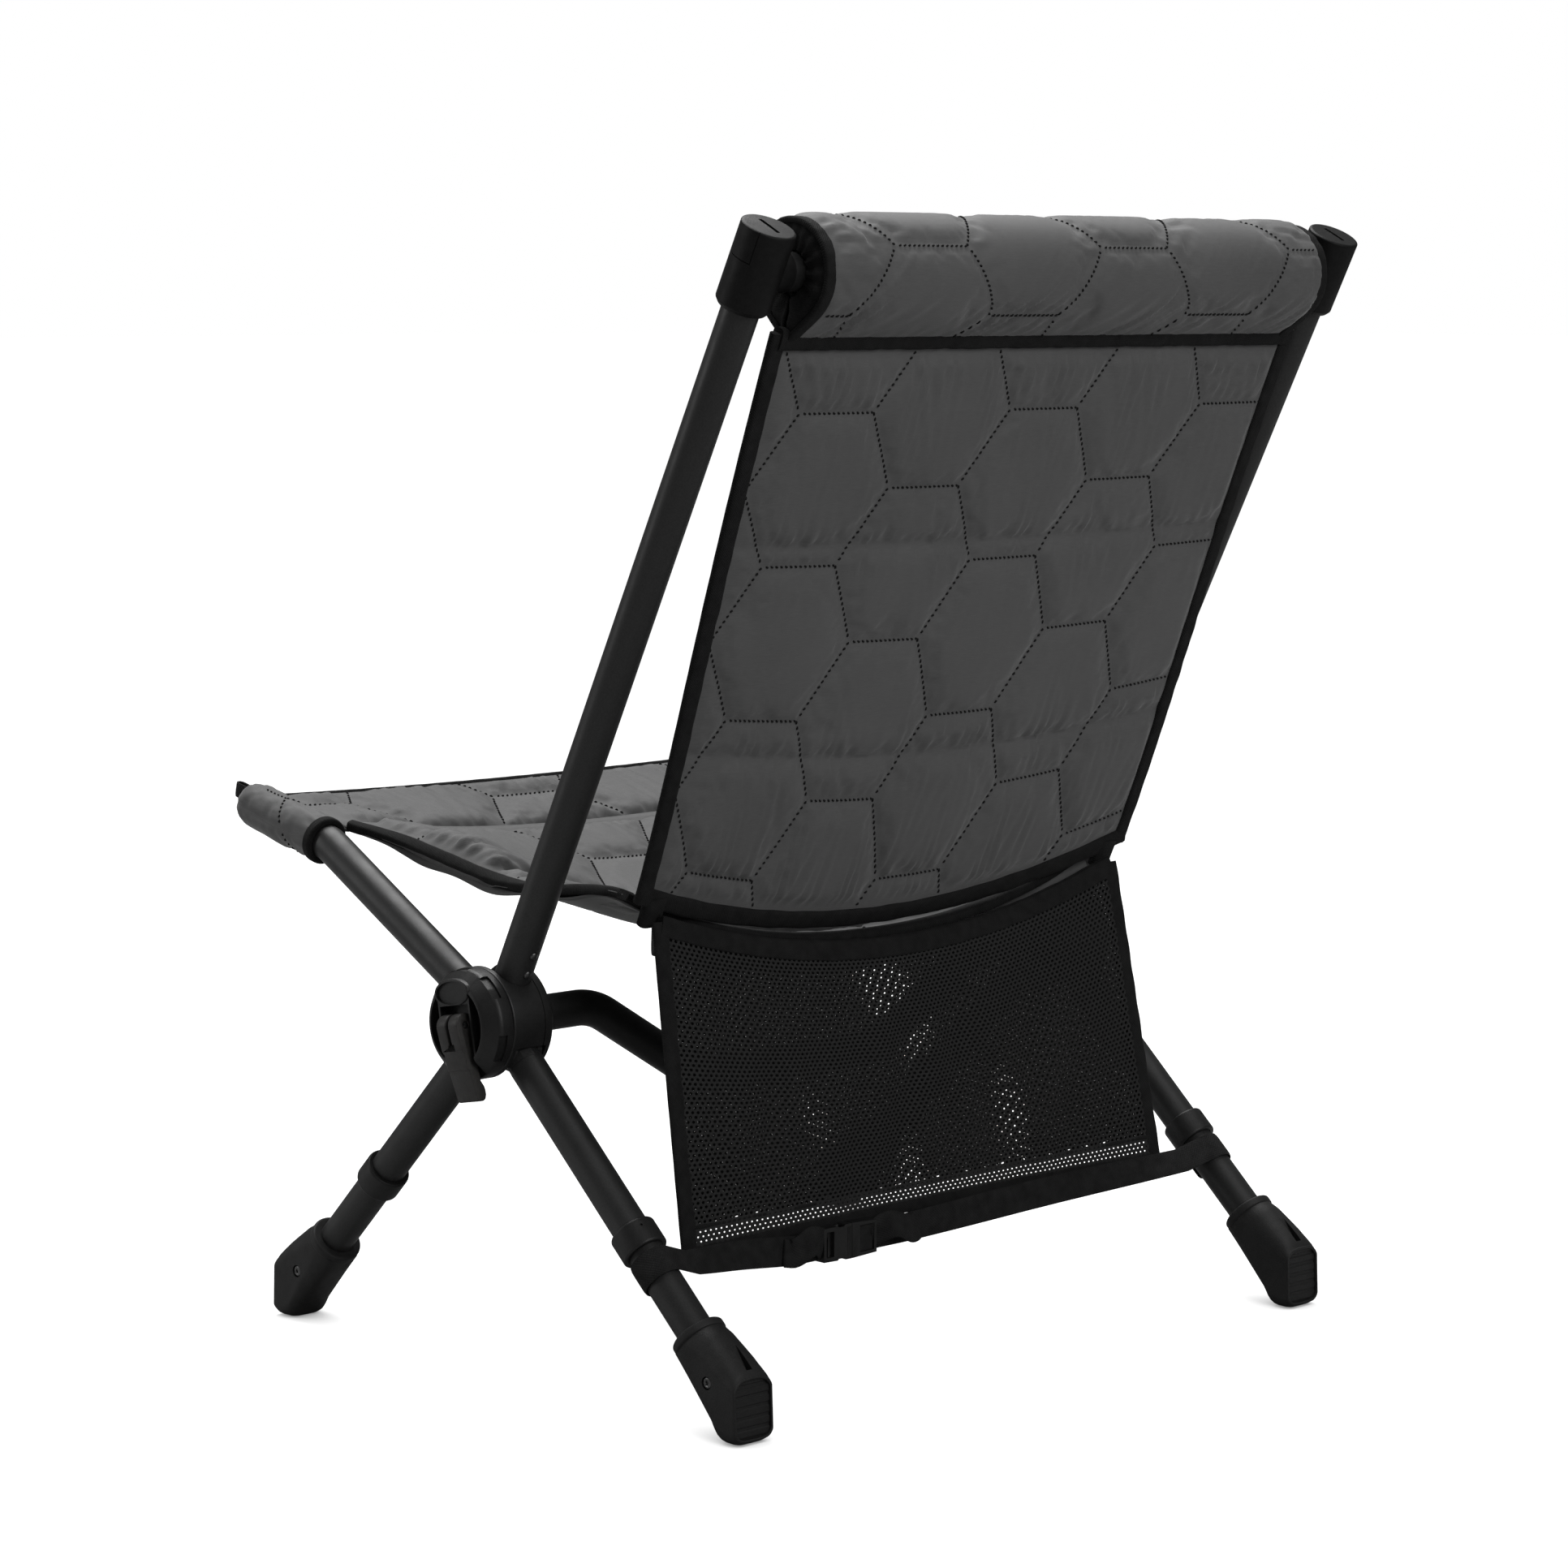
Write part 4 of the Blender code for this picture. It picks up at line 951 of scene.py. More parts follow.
def stitches(name, lines, place_point, half, length):
    """Short raised stitches along flat lines; place_point gives a surface point and its outward direction."""
    sides, shift, thick = 5, 0.6 * MM, 0.75 * MM
    stitch_faces = grid_faces(5, sides) + end_caps(5 * sides, sides)
    points, faces = [], []
    for x0, s0, x1, s1 in lines:
        total = sqrt((x1 - x0) ** 2 + (s1 - s0) ** 2)
        for number in range(int(total / STITCH_PITCH)):
            ends = []
            for at, lean in ((number * STITCH_PITCH, shift), (number * STITCH_PITCH + STITCH_LENGTH, -shift)):
                t = at / total
                ends.append((x0 + (x1 - x0) * t - (s1 - s0) / total * lean,
                             s0 + (s1 - s0) * t + (x1 - x0) / total * lean))
            if any(abs(x) > half or not 0 < s < length for x, s in ends):
                continue
            a, out = place_point(*ends[0])
            b, _ = place_point(*ends[1])
            along = b - a
            along /= np.linalg.norm(along)
            across = np.cross(out, along)
            base = len(points)
            for centre, size in ((a - out * thick * 0.5, 0.35), (a * 0.75 + b * 0.25 + out * thick * 0.4, 0.9),
                                 ((a + b) / 2 + out * thick * 0.55, 1.0),
                                 (a * 0.25 + b * 0.75 + out * thick * 0.4, 0.9), (b - out * thick * 0.5, 0.35)):
                for i in range(sides):
                    turn = 2 * pi * i / sides
                    points.append(centre + (across * cos(turn) + out * sin(turn)) * thick * size)
            faces += [tuple(base + i for i in face) for face in stitch_faces]
    return new_object(name, points, faces, THREAD)


def surface_reader(points, half, length):
    """Reads a finished grid at a flat point: surface point and outward direction."""
    normals = surface_normals(points)
    rows, columns = points.shape[:2]

    def read(x, s):
        c = min(max((x + half) / (2 * half), 0), 0.9999) * (columns - 1)
        r = min(max(s / length, 0), 0.9999) * (rows - 1)
        i, j = int(r), int(c)
        f, g = r - i, c - j
        value = (points[i, j] * (1 - f) * (1 - g) + points[i, j + 1] * (1 - f) * g
                 + points[i + 1, j] * f * (1 - g) + points[i + 1, j + 1] * f * g)
        return value, normals[i, j]
    return read


def banding(name, centres, outs, width, thick, finish=TAPE, wave=0.35 * MM, seed=3):
    """Folded tape: a flat rounded bar along a line of centres; outs points away from the cloth's face."""
    random = np.random.default_rng(seed)
    sides = 20
    count = len(centres)
    tangents = np.gradient(centres, axis=0)
    tangents /= np.linalg.norm(tangents, axis=1, keepdims=True)
    run = np.concatenate([[0], np.cumsum(np.linalg.norm(np.diff(centres, axis=0), axis=1))])
    shake = sum(np.sin(2 * pi * run / random.uniform(14 * MM, 60 * MM) + random.uniform(0, 6))
                for _ in range(4)) / 4
    points, flat = [], []
    for i in range(count):
        out = outs[i] / np.linalg.norm(outs[i])
        across = np.cross(tangents[i], out)
        across /= np.linalg.norm(across)
        for k in range(sides):
            turn = 2 * pi * k / sides
            c, s = cos(turn), sin(turn)
            w = abs(c) ** 0.45 * (1 if c > 0 else -1) * (width / 2 + shake[i] * wave)
            h = abs(s) ** 0.75 * (1 if s > 0 else -1) * (thick / 2)
            points.append(centres[i] + across * w + out * (h + shake[i] * wave * 0.6))
            flat.append((run[i], w + k * 0.0001))
    faces = grid_faces(count, sides) + end_caps(len(points), sides)
    return outward(new_object(name, points, faces, finish, 60, flat))


# ---------------------------------------------------------------- the sling's shape
BACK_LENGTH = 396 * MM
BACK_TOP_HALF, BACK_LOW_HALF = 249 * MM, 236 * MM    # half widths
BACK_SMILE = 42 * MM           # how much lower the bottom edge hangs in the middle
SEAT_LENGTH = 372 * MM
SEAT_REAR_HALF = 236 * MM
SAG_REAR, SAG_FRONT = 50, 4    # how far the seat sags between the poles, in millimetres
POCKET_MOUTH_AT = 289 * MM     # along the seat from its rear edge
RUFFLE_RISE = 20 * MM          # the gathered cloth beside the seat's side bindings swells up this much
RUFFLE_INSIDE = 27 * MM        # and is highest this far inside the edge
CLOTH_HALF = 246 * MM          # flat half width of both panels


def smooth_curve(points, degree):
    """Smooth curve through side-view points (y, z) in millimetres: reads y and z at a length along it."""
    points = np.array(points, dtype=float) * MM
    run = np.concatenate([[0], np.cumsum(np.hypot(*np.diff(points, axis=0).T))])
    fit = [np.polyfit(run, points[:, k], degree) for k in (0, 1)]
    return lambda s: (np.polyval(fit[0], s), np.polyval(fit[1], s))


BACK_LINE = smooth_curve(((252, 703), (224, 634), (197, 566), (171, 498), (148, 430), (126, 379),
                          (108, 332)), 4)
SEAT_LINE = smooth_curve(((94, 334), (60, 334), (30, 332), (-10, 328), (-44, 325), (-100, 334), (-150, 345),
                          (-178, 351), (-215, 360), (-272, 374)), 5)


def back_base(u, s):
    """Back panel's middle surface; u from -1 to 1 across, s down the cloth."""
    share = s / BACK_LENGTH
    hang = 1 + (BACK_SMILE / BACK_LENGTH) * (1 - u * u) * np.clip(share, 0, 1) ** 2
    y, z = BACK_LINE(s * hang)
    half = BACK_TOP_HALF + (BACK_LOW_HALF - BACK_TOP_HALF) * share
    bow = 5 * MM * (1 - u * u) * np.sin(pi * np.clip(share, 0, 1)) ** 0.8
    return np.stack([u * half, y + bow, z - bow * 0.3], axis=-1)


def seat_base(u, s):
    """Seat's middle surface; s runs forward. It sags between the poles and widens at the front."""
    y, z = SEAT_LINE(s)
    share = s / SEAT_LENGTH
    sag = (SAG_REAR - (SAG_REAR - SAG_FRONT) * np.clip(share, 0, 1) ** 1.2) * MM
    half = SEAT_REAR_HALF + 23 * MM * smooth_step((share - 0.62) / 0.28)
    front_roll = np.clip((share - 0.955) / 0.045, 0, 1)
    inward = (1 - np.abs(u)) * half / RUFFLE_INSIDE
    swell = RUFFLE_RISE * inward * np.exp(1 - inward) * np.exp(-((share - 0.5) / 0.2) ** 2)
    drop = sag * (1 - np.abs(u) ** 2.2) + 7 * MM * front_roll ** 2 - swell
    return np.stack([u * half, y, z - drop], axis=-1)


def quilt_panel(name, base, length, across_from, down_from, seed, gather_ends=(True, True), side_gather=0.0,
                fold_depth=1.0 * MM):
    """Two-layer quilted panel on a base surface, with stitches and fold seams on both faces."""
    half = CLOTH_HALF
    lines = honeycomb(half, length, across_from, down_from)
    folds = [(-half, s, half, s) for s in (FOLD_SPACING, 2 * FOLD_SPACING) if s < length - 30 * MM]
    lift = puffed(half, length, lines + folds, seed)
    x, s = flat_grid(half, length, FINE_CELL)
    gap_lines, gap_folds = seam_distance(x, s, lines), seam_distance(x, s, folds)
    inward = half - np.abs(x)
    border = np.minimum.reduce([inward, s, length - s])
    moved = sampled(lift, half, length, x, s)
    inside = pressed(border - UNDER_TAPE, 12 * MM)
    full = pressed(gap_lines) * inside

    crease = sum(gathers(x + 0.12 * s, np.abs(s - line[1]), seed + 5, 11 * MM, 20 * MM, 1.3 * MM)
                 for line in folds)
    crease += gathers(s, inward, seed + 7, 9 * MM, 20 * MM, 1.0 * MM)
    for active, from_edge in zip(gather_ends, (s, length - s)):
        if active:
            crease += gathers(x + 0.15 * from_edge, from_edge, seed + 9, 10 * MM, 40 * MM, 2.6 * MM)
    puff = (moved[..., 2] + 0.4 * MM + crease) * full * pressed(gap_folds, 3.2 * MM)
    loft = pressed(np.minimum(gap_lines, gap_folds), 16 * MM) * inside
    thickness = (0.9 * MM + 2.0 * MM * loft) * np.clip(border / (3 * MM), 0.35, 1)

    ruffle = np.sin(2 * pi * (s + 0.5 * inward) / (11.5 * MM))
    ruffle = ruffle + 0.7 * np.sin(2 * pi * (s + 0.8 * inward) / (17 * MM) + 1)
    ruffle = side_gather * np.maximum(ruffle, -0.4) * pressed(inward - 9.5 * MM, 6 * MM)
    ruffle = ruffle * np.exp(-((s / length - 0.48) / 0.21) ** 2)
    ruffle = ruffle * np.exp(-((inward - 12 * MM) / (34 * MM)) ** 2)
    valley = fold_depth * np.exp(-(gap_folds / (6 * MM)) ** 2)

    middle = base(np.clip((x + moved[..., 0] * full) / half, -1, 1), s + moved[..., 1] * full)
    normal = surface_normals(base(x / half, s))
    centre = x.shape[0] // 2, x.shape[1] // 2
    if normal[centre][1] < 0:
        normal = -normal
    middle = middle + normal * (ruffle - valley)[..., None]
    outer = middle + normal * (thickness + puff)[..., None]
    inner = middle - normal * (thickness + puff)[..., None]
    made = [two_layers(name, outer, inner, np.stack([x, s], axis=-1), QUILT)]
    rear = surface_reader(outer, half, length)
    flip = 1 if np.dot(rear(0, length / 2)[1], normal[centre]) > 0 else -1
    rim = 7 * MM
    for face, read, sign in (("rear", rear, flip), ("front", surface_reader(inner, half, length), -flip)):
        def face_point(x, s, read=read, sign=sign):
            point, out = read(x, s)
            return point, out * sign

        made.append(stitches("%s_stitches_%s" % (name, face), lines, face_point, half - rim, length - rim))
    return made


def edge_band(name, base, ends, count, width, thick, seed):
    """Tape along a straight flat line from (u, s) to (u, s) on a base surface, width by thick millimetres."""
    u, s = (np.array([start + (stop - start) * i / count for i in range(count + 1)])
            for start, stop in zip(ends[:2], ends[2:]))
    step = 1e-3
    across = base(u + step, s) - base(u - step, s)
    down = base(u, s + step * 0.1) - base(u, s - step * 0.1)
    return banding(name, base(u, s), np.cross(across, down), width * MM, thick * MM, seed=seed)


def on_back(made, slot, *nodes):
    return shown(made, "back_frame", slot, *nodes)


def back_bands(*rows):
    """Tapes on the back panel; each row is a name and what edge_band needs after the base surface."""
    for row in rows:
        on_back(edge_band("back_" + row[0], back_base, *row[1:]), "black_webbing")


def back_rest():
    panel, *sewn = quilt_panel("back_panel_quilt", back_base, BACK_LENGTH, -15 * MM, 52 * MM, 11)
    on_back(panel, "grey_quilt", "back_panel")
    for made in sewn:
        on_back(made, "grey_quilt")
    side, tab = 1 - 4 * MM / BACK_TOP_HALF, 0.935
    low, past = BACK_LENGTH - 2 * MM, BACK_LENGTH + 3 * MM
    tab_from, tab_to = BACK_LENGTH - 4 * MM, BACK_LENGTH + 17 * MM
    back_bands(*[("binding_" + name, (sign * side, -3 * MM, sign * side, past), 150, 12, 6.5, 21 + sign)
                 for name, sign in SIDES])
    back_bands(("binding_low", (-1, low, 1, low), 180, 14, 7, 24))
    u = np.linspace(-0.9, 0.9, 160)
    centres = back_base(u, np.full(len(u), BACK_LENGTH + 18 * MM)) - np.array([0, 2 * MM, 0])
    skirt = banding("back_panel_skirt", centres, np.tile([0, 1.0, 0.25], (len(u), 1)), 40 * MM, 3.6 * MM, QUILT,
                    wave=1.3 * MM, seed=29)
    on_back(skirt, "grey_quilt")
    back_bands(*[("corner_tab_" + name, (sign * tab, tab_from, sign * tab, tab_to), 10, 17, 9, 35)
                 for name, sign in SIDES])
    back_bands(("top_strip", (-0.985, 1 * MM, 0.985, 1 * MM), 180, 15, 10, 27))


LINING_TO = 292 * MM           # how far forward the seat's second layer reaches


def seat_lining():
    """Second layer of cloth that carries the seat: it hangs a little lower along the sides."""
    u, s = np.meshgrid(np.linspace(-1, 1, 124), np.linspace(0, LINING_TO, 74))
    share = s / LINING_TO
    hang = (5.0 * MM + 1.5 * MM * np.sin(23 * share + 3 * u)) * np.clip((1 - share) * 6, 0, 1) ** 0.7
    middle = seat_base(u * 0.998, s)
    middle[..., 2] -= hang
    normal = surface_normals(middle)
    flat = np.stack([u * CLOTH_HALF, s], axis=-1)
    return two_layers("seat_panel_lining", middle + normal * 0.8 * MM, middle - normal * 0.8 * MM, flat, QUILT)


def seat_rest():
    pieces = quilt_panel("seat_panel_quilt", seat_base, SEAT_LENGTH, 40 * MM, 20 * MM, 31, (False, True),
                         2.2 * MM, 3.6 * MM)
    side, front, rear = 1 - 4 * MM / SEAT_REAR_HALF, SEAT_LENGTH - 1 * MM, 2 * MM
    rows = [(name, (sign * side, 0, sign * side, POCKET_MOUTH_AT), 130, 9, 7.6, 41 + sign)
            for name, sign in SIDES]
    rows += [("front", (-0.99, front, 0.99, front), 180, 11, 6.5, 44),
             ("rear", (-1, rear, 1, rear), 180, 12, 7, 45)]
    pieces += [edge_band("seat_binding_" + name, seat_base, *row) for name, *row in rows]
    lining = seat_lining()
    pieces.append(lining)
    for made in pieces:
        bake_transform(made)
    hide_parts("seat_panel")


# ---------------------------------------------------------------- bolster round the top bar
BOLSTER_R = 36.5 * MM
BOLSTER_HALF = 236 * MM


def bolster():
    bar = box_middle("top_crossbar")
    pinch_y, pinch_z = 252 * MM, 701 * MM
    length = 2 * pi * 35 * MM + 14 * MM
    half = BOLSTER_HALF
    lines = honeycomb(half, length, 52 * MM, 19 * MM)
    lift = puffed(half, length, lines, 51)
    x, s = flat_grid(half, length, FINE_CELL)
    gap = np.minimum(seam_distance(x, s, lines), np.minimum(s, length - s))
    moved = sampled(lift, half, length, x, s)
    ends = np.clip((half - np.abs(x)) / (9 * MM), 0, 1)
    crease = gathers(x + 1.0 * s, s, 61, 13 * MM, 30 * MM, 2.4 * MM)
    crease += gathers(x - 0.8 * s, length - s, 67, 13 * MM, 28 * MM, 1.8 * MM)
    crease += gathers(s, half - np.abs(x), 63, 10 * MM, 18 * MM, 1.0 * MM)
    puff = ((moved[..., 2] - 0.6 * MM) * 1.2 + crease) * pressed(gap)
    turn = np.radians(-72) + np.radians(324) * s / length
    radius = (BOLSTER_R - 1.0 * MM) * (0.92 + 0.08 * np.sqrt(1 - (1 - ends) ** 2))
    radius = radius + puff * np.clip(ends, 0.2, 1)
    y, z = bar.y + radius * np.cos(turn), bar.z + radius * np.sin(turn)
    closing = np.clip(1 - np.minimum(s, length - s) / (26 * MM), 0, 1) ** 1.6
    sign = np.where(s < length / 2, 1, -1)
    y = y * (1 - closing) + (pinch_y + sign * 2.2 * MM) * closing
    z = z * (1 - closing) + pinch_z * closing
    outer = np.stack([x + moved[..., 0] * ends, y, z], axis=-1)
    inner_r = 14 * MM
    inner = np.stack([x * 0.994, bar.y + inner_r * np.cos(turn), bar.z + inner_r * np.sin(turn)], axis=-1)
    roll = two_layers("head_bolster_quilt", outer, inner, np.stack([x, s], axis=-1), QUILT)
    on_back(roll, "grey_quilt", "head_bolster")
    reader = surface_reader(outer, half, length)

    def roll_point(x, s):
        point, out = reader(x, s)
        away = point - np.array([point[0], bar.y, bar.z])
        return point, out if np.dot(out, away) > 0 else -out

    on_back(stitches("head_bolster_stitches", lines, roll_point, half - 6 * MM, length - 6 * MM), "grey_quilt")
    for name, side in SIDES:
        bolster_end(name, side, outer[:, -1 if side > 0 else 0], bar)


def bolster_end(name, side, rim, bar):
    """Gathered black end of the bolster, with a corded rim."""
    count = len(rim)
    centre = np.array([side * BOLSTER_HALF, bar.y, bar.z])
    pleat = np.sin(np.arange(count) * 2 * pi / 6.1 + 1.5 * np.sin(np.arange(count) / 7))
    rings = []
    for k, share in enumerate((1.0, 0.985, 0.9, 0.75, 0.58, 0.42)):
        bulge = side * MM * (0.6 + 5.5 * sqrt(max(0, 1 - share ** 2)) - 2.5 * (k > 3))
        row = centre + (rim - centre) * share
        row[:, 0] = side * BOLSTER_HALF + bulge + side * pleat * 0.9 * MM * (k > 0) * (1 - share * 0.5)
        rings.append(row)
    face = np.array(rings)
    back = face.copy()
    back[..., 0] -= side * 3 * MM
    flat = np.stack(np.meshgrid(np.arange(count) * 2.5 * MM, np.arange(len(rings)) * 6 * MM), axis=-1)
    on_back(two_layers("bolster_end_" + name, face, back, flat, TAPE), "black_webbing")
    outs = rim - centre
    outs[:, 0] = 0
    line = rim * np.array([0, 1, 1]) + np.array([side * BOLSTER_HALF, 0, 0])
    on_back(banding("bolster_rim_" + name, line, outs, 9 * MM, 4.6 * MM, seed=71), "black_webbing")


def sleeve_path():
    """Points along the sewn sleeve's axis, from the pole's collar round its bend to the tip."""
    mouth = POLE_BEND - direction(SEAT_ANGLE) * (12 * MM)
    tip = POLE_BEND + direction(NOSE_ANGLE) * (101 * MM)
    path = rounded_path([mouth, POLE_BEND, tip], POLE_BEND_R, 12)
    dense = []
    for a, b in zip(path, path[1:]):
        steps = max(1, int((b - a).length / (2.2 * MM)))
        dense += [a.lerp(b, i / steps) for i in range(steps)]
    dense.append(path[-1])
    return [point for point in dense if (point - mouth).length > POCKET_SHORT], tip


# ---------------------------------------------------------------- sewn pockets over the seat poles
POCKET_SHORT = 17 * MM         # the sewn sleeve starts this far past the end of the collar on the pole


def corner_pocket(name, side):
    """Quilted sleeve over the front end of a seat pole, with its cuff and webbing tab."""
    dense, tip = sleeve_path()
    total = sum((b - a).length for a, b in zip(dense, dense[1:]))
    around = 72
    girth = 2 * pi * 17 * MM
    low, high = 16 * MM, 50 * MM
    middle = (low + high) / 2
    lines = [(-girth / 2, middle, -girth / 4, high), (-girth / 4, high, girth / 4, low),
             (girth / 4, low, girth / 2, middle), (-girth / 4, high, -girth / 4, high + 26 * MM)]
    lift = puffed(girth / 2, total, lines, 81)
    rings, flat, run = [], [], 0.0
    x = np.array([girth * (k / around - 0.5) for k in range(around)])
    for i, point in enumerate(dense):
        s = np.full(around, run)
        gap = np.minimum(seam_distance(x, s, lines), girth / 2 - np.abs(x))
        puff = sampled(lift, girth / 2, total, x, s)[:, 2] * pressed(gap)
        puff += gathers(x, np.full(around, min(run, total - run)), 83, 9 * MM, 26 * MM, 1.3 * MM)
        nose = min(1.0, (total - run) / (16 * MM) + 0.05)
        swell = sin(pi * min(run / (60 * MM), 1)) * 1.0 * MM
        size = (14.4 * MM + swell + puff * 0.8) * sqrt(1 - (1 - nose) ** 2)
        rings.append(ring(point, tangent_at(dense, i), size.tolist(), around, OUT))
        flat += [(float(a), run) for a in x]
        if i + 1 < len(dense):
            run += (dense[i + 1] - point).length
    skin = np.array([[tuple(point) for point in one] for one in rings])
    inside = swept_rings(dense, 13.0 * MM, around, OUT)[:len(dense) - 9]
    rings = [*reversed(inside), *rings]
    flat = [(0.0, 0.0)] * (len(inside) * around) + flat
    sleeve = outward(new_object("corner_pocket_%s_quilt" % name, *stacked(rings), QUILT, None, flat))
    reader = surface_reader(np.concatenate([skin, skin[:, :1]], axis=1), girth / 2, total)
    axis = np.array([tuple(point) for point in dense])

    def sleeve_point(x, s):
        point, out = reader(x, s)
        away = point - axis[min(int(s / total * len(axis)), len(axis) - 1)]
        return point, out if np.dot(out, away) > 0 else -out

    seam = stitches("corner_pocket_stitches_" + name, lines, sleeve_point, girth / 2 - 2 * MM, total - 12 * MM)
    shown(mirrored(seam, side), "seat_frame", "grey_quilt")
    shown(mirrored(sleeve, side), "seat_frame", "grey_quilt", "corner_pocket_" + name)
    along = (dense[3] - dense[0]).normalized()
    profile = mm((13.0, -3.8), (15.9, -3.8), (17.1, -2.6), (17.1, 2.6), (15.9, 3.8), (14.6, 4.2), (13.0, 3))
    cuff = turned("pocket_cuff_" + name, dense[0] + along * (1 * MM), along, eased_loop(profile, 1.0 * MM), TAPE,
                  64, closed=True)
    layer = cuff.data.uv_layers.new(name="flat")
    for corner, value in zip(cuff.data.loops, layer.data):
        place_at = cuff.data.vertices[corner.vertex_index].co
        value.uv = (place_at.x, place_at.y + place_at.z)
    shown(mirrored(cuff, side), "seat_frame", "black_webbing")
    ahead, above = direction(NOSE_ANGLE), direction(NOSE_ANGLE + 90)
    fold = [(-12, 1.4), (-6, 1.6), (0, 2.2), (5, 2.6), (9, 2.4), (11, 1.2)]
    fold += [(a, -x) for a, x in reversed(fold)]
    centres = np.array([tuple(tip + above * (4.5 * MM) + ahead * (a * MM) + OUT * (x * MM)) for a, x in fold])
    outs = np.array([tuple(OUT * x + ahead * (2.6 if a > 8.5 else 0)) for a, x in fold])
    tab = banding("pocket_tab_" + name, centres, outs, 11 * MM, 1.7 * MM, WEBBING, wave=0.05 * MM)
    shown(mirrored(tab, side), "seat_frame", "black_webbing")


back_rest()
seat_rest()
bolster()
for side_name, side_sign in SIDES:
    corner_pocket(side_name, side_sign)


# ---------------------------------------------------------------- mesh pocket under the seat
NET_PITCH = 4.6 * MM
NET_DEPTH = 208 * MM
NET_SEAM = 192 * MM             # where the two layers are sewn together, above the single-layer hem
NET_HALF = 226 * MM
NET_TOP_HALF, NET_LOW_HALF = 220 * MM, 229 * MM
NET_Y, NET_Z = (111, 150), (316, 99)    # millimetres, at the mouth and at the lower edge
MOUTH_SAG, LOW_RISE = 37, 3     # the mouth hangs and the lower edge rises in the middle, in millimetres
NET_HOLES = (0.52, 0.06)        # open share of a cell across, in the rear and the front layer
HEM_CLOSER = 0.24               # how much less open the rear layer is in the hem
SHEER = 0.25                    # how much more open the front layer is where the cloth is drawn thin


def net_base(u, s, layer):
    """Mesh pocket's hanging surface; layer is 0 for the rear layer and 1 for the front one."""
    share = s / NET_DEPTH
    y = NET_Y[0] * MM + (NET_Y[1] - NET_Y[0]) * MM * share
    z = (NET_Z[0] - MOUTH_SAG * (1 - u * u) * (1 - share)) * MM + (NET_Z[1] - NET_Z[0]) * MM * share
    z = z + LOW_RISE * MM * (1 - u * u) * share
    belly = np.sin(pi * np.clip(share, 0, 1)) * (1 - u ** 4)
    random = np.random.default_rng(97 + layer)
    rip = 0 * u
    for _ in range(9):
        across, down = random.uniform(12, 34), random.uniform(-9, 9)
        rip = rip + 0.5 * np.sin(across * u + down * share + random.uniform(0, 2 * pi))
    puffs = belly * (5 + 1.6 * rip) * MM if layer == 0 else -belly * (4 + 1.6 * rip) * MM
    x = u * (NET_TOP_HALF + (NET_LOW_HALF - NET_TOP_HALF) * share)
    return np.stack([x, y + puffs + (0.5 - layer) * 3 * MM, z], axis=-1)


def sheer_patches(x, s):
    """Share from 0 to 1 of slanting stretches where more light comes through."""
    along, across = (s - 0.35 * x) / (46 * MM), (x + 0.3 * s) / (21 * MM)
    waves = sin(across + 1.3 * sin(0.6 * along)) * sin(along + 0.8 * sin(0.31 * across + 2))
    return min(max((waves + 0.5 * sin(0.37 * across + 1) - 0.6) * 2.2, 0), 1)


def net(layer):
    """Hexagon mesh cloth: every cell is a ring of yarn round an open hole."""
    pitch, end = NET_PITCH, (NET_DEPTH, NET_SEAM)[layer]
    lean = radians(30 * layer)
    row_step = pitch * 0.66       # the cells are drawn out sideways
    columns, rows = int(2.6 * NET_HALF / pitch), int((1 + 1.6 * layer) * 1.2 * NET_DEPTH / row_step)
    turns = np.radians(np.arange(6) * 60 + 30)
    rim = np.stack([np.cos(turns) * pitch / sqrt(3), np.sin(turns) * row_step / 1.5], axis=-1)
    turn = np.array([[cos(lean), sin(lean)], [-sin(lean), cos(lean)]])
    corners, faces = [], []
    for row in range(rows):
        for column in range(columns):
            across = (column + 0.5 * (row % 2) - columns / 2) * pitch
            down = (row - rows / 2) * row_step
            centre = np.array([across * cos(lean) - down * sin(lean),
                               NET_DEPTH / 2 + across * sin(lean) + down * cos(lean)])
            if abs(centre[0]) > NET_HALF or not 0 < centre[1] < end:
                continue
            opening = SHEER * sheer_patches(*centre) if layer else -HEM_CLOSER * (centre[1] > NET_SEAM)
            hole = NET_HOLES[layer] + opening
            base = len(corners)
            corners += list(centre + rim @ turn) + list(centre + rim @ turn * hole)
            faces += [(base + i, base + (i + 1) % 6, base + 6 + (i + 1) % 6, base + 6 + i) for i in range(6)]
    flat = np.array(corners)
    u, s = np.clip(flat[:, 0] / NET_HALF, -1, 1), np.clip(flat[:, 1], 0, NET_DEPTH)
    points = net_base(u, s, layer)
    points[:, 1] += np.tile(np.repeat([0.25 * MM, -0.25 * MM], 6), len(points) // 12)
    # The front layer gets the darker copy of the yarn, painted shade inside the pocket.
    made = new_object("mesh_pocket_net_" + ("rear", "front")[layer], points, faces, (YARN, SHADED_INNER_YARN)[layer])
    work = bmesh.new()
    work.from_mesh(made.data)
    bmesh.ops.remove_doubles(work, verts=work.verts, dist=0.05 * MM)
    work.to_mesh(made.data)
    work.free()
    made.data.shade_smooth()
    return made


def joined_loosely(made):
    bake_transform(made)
    return made


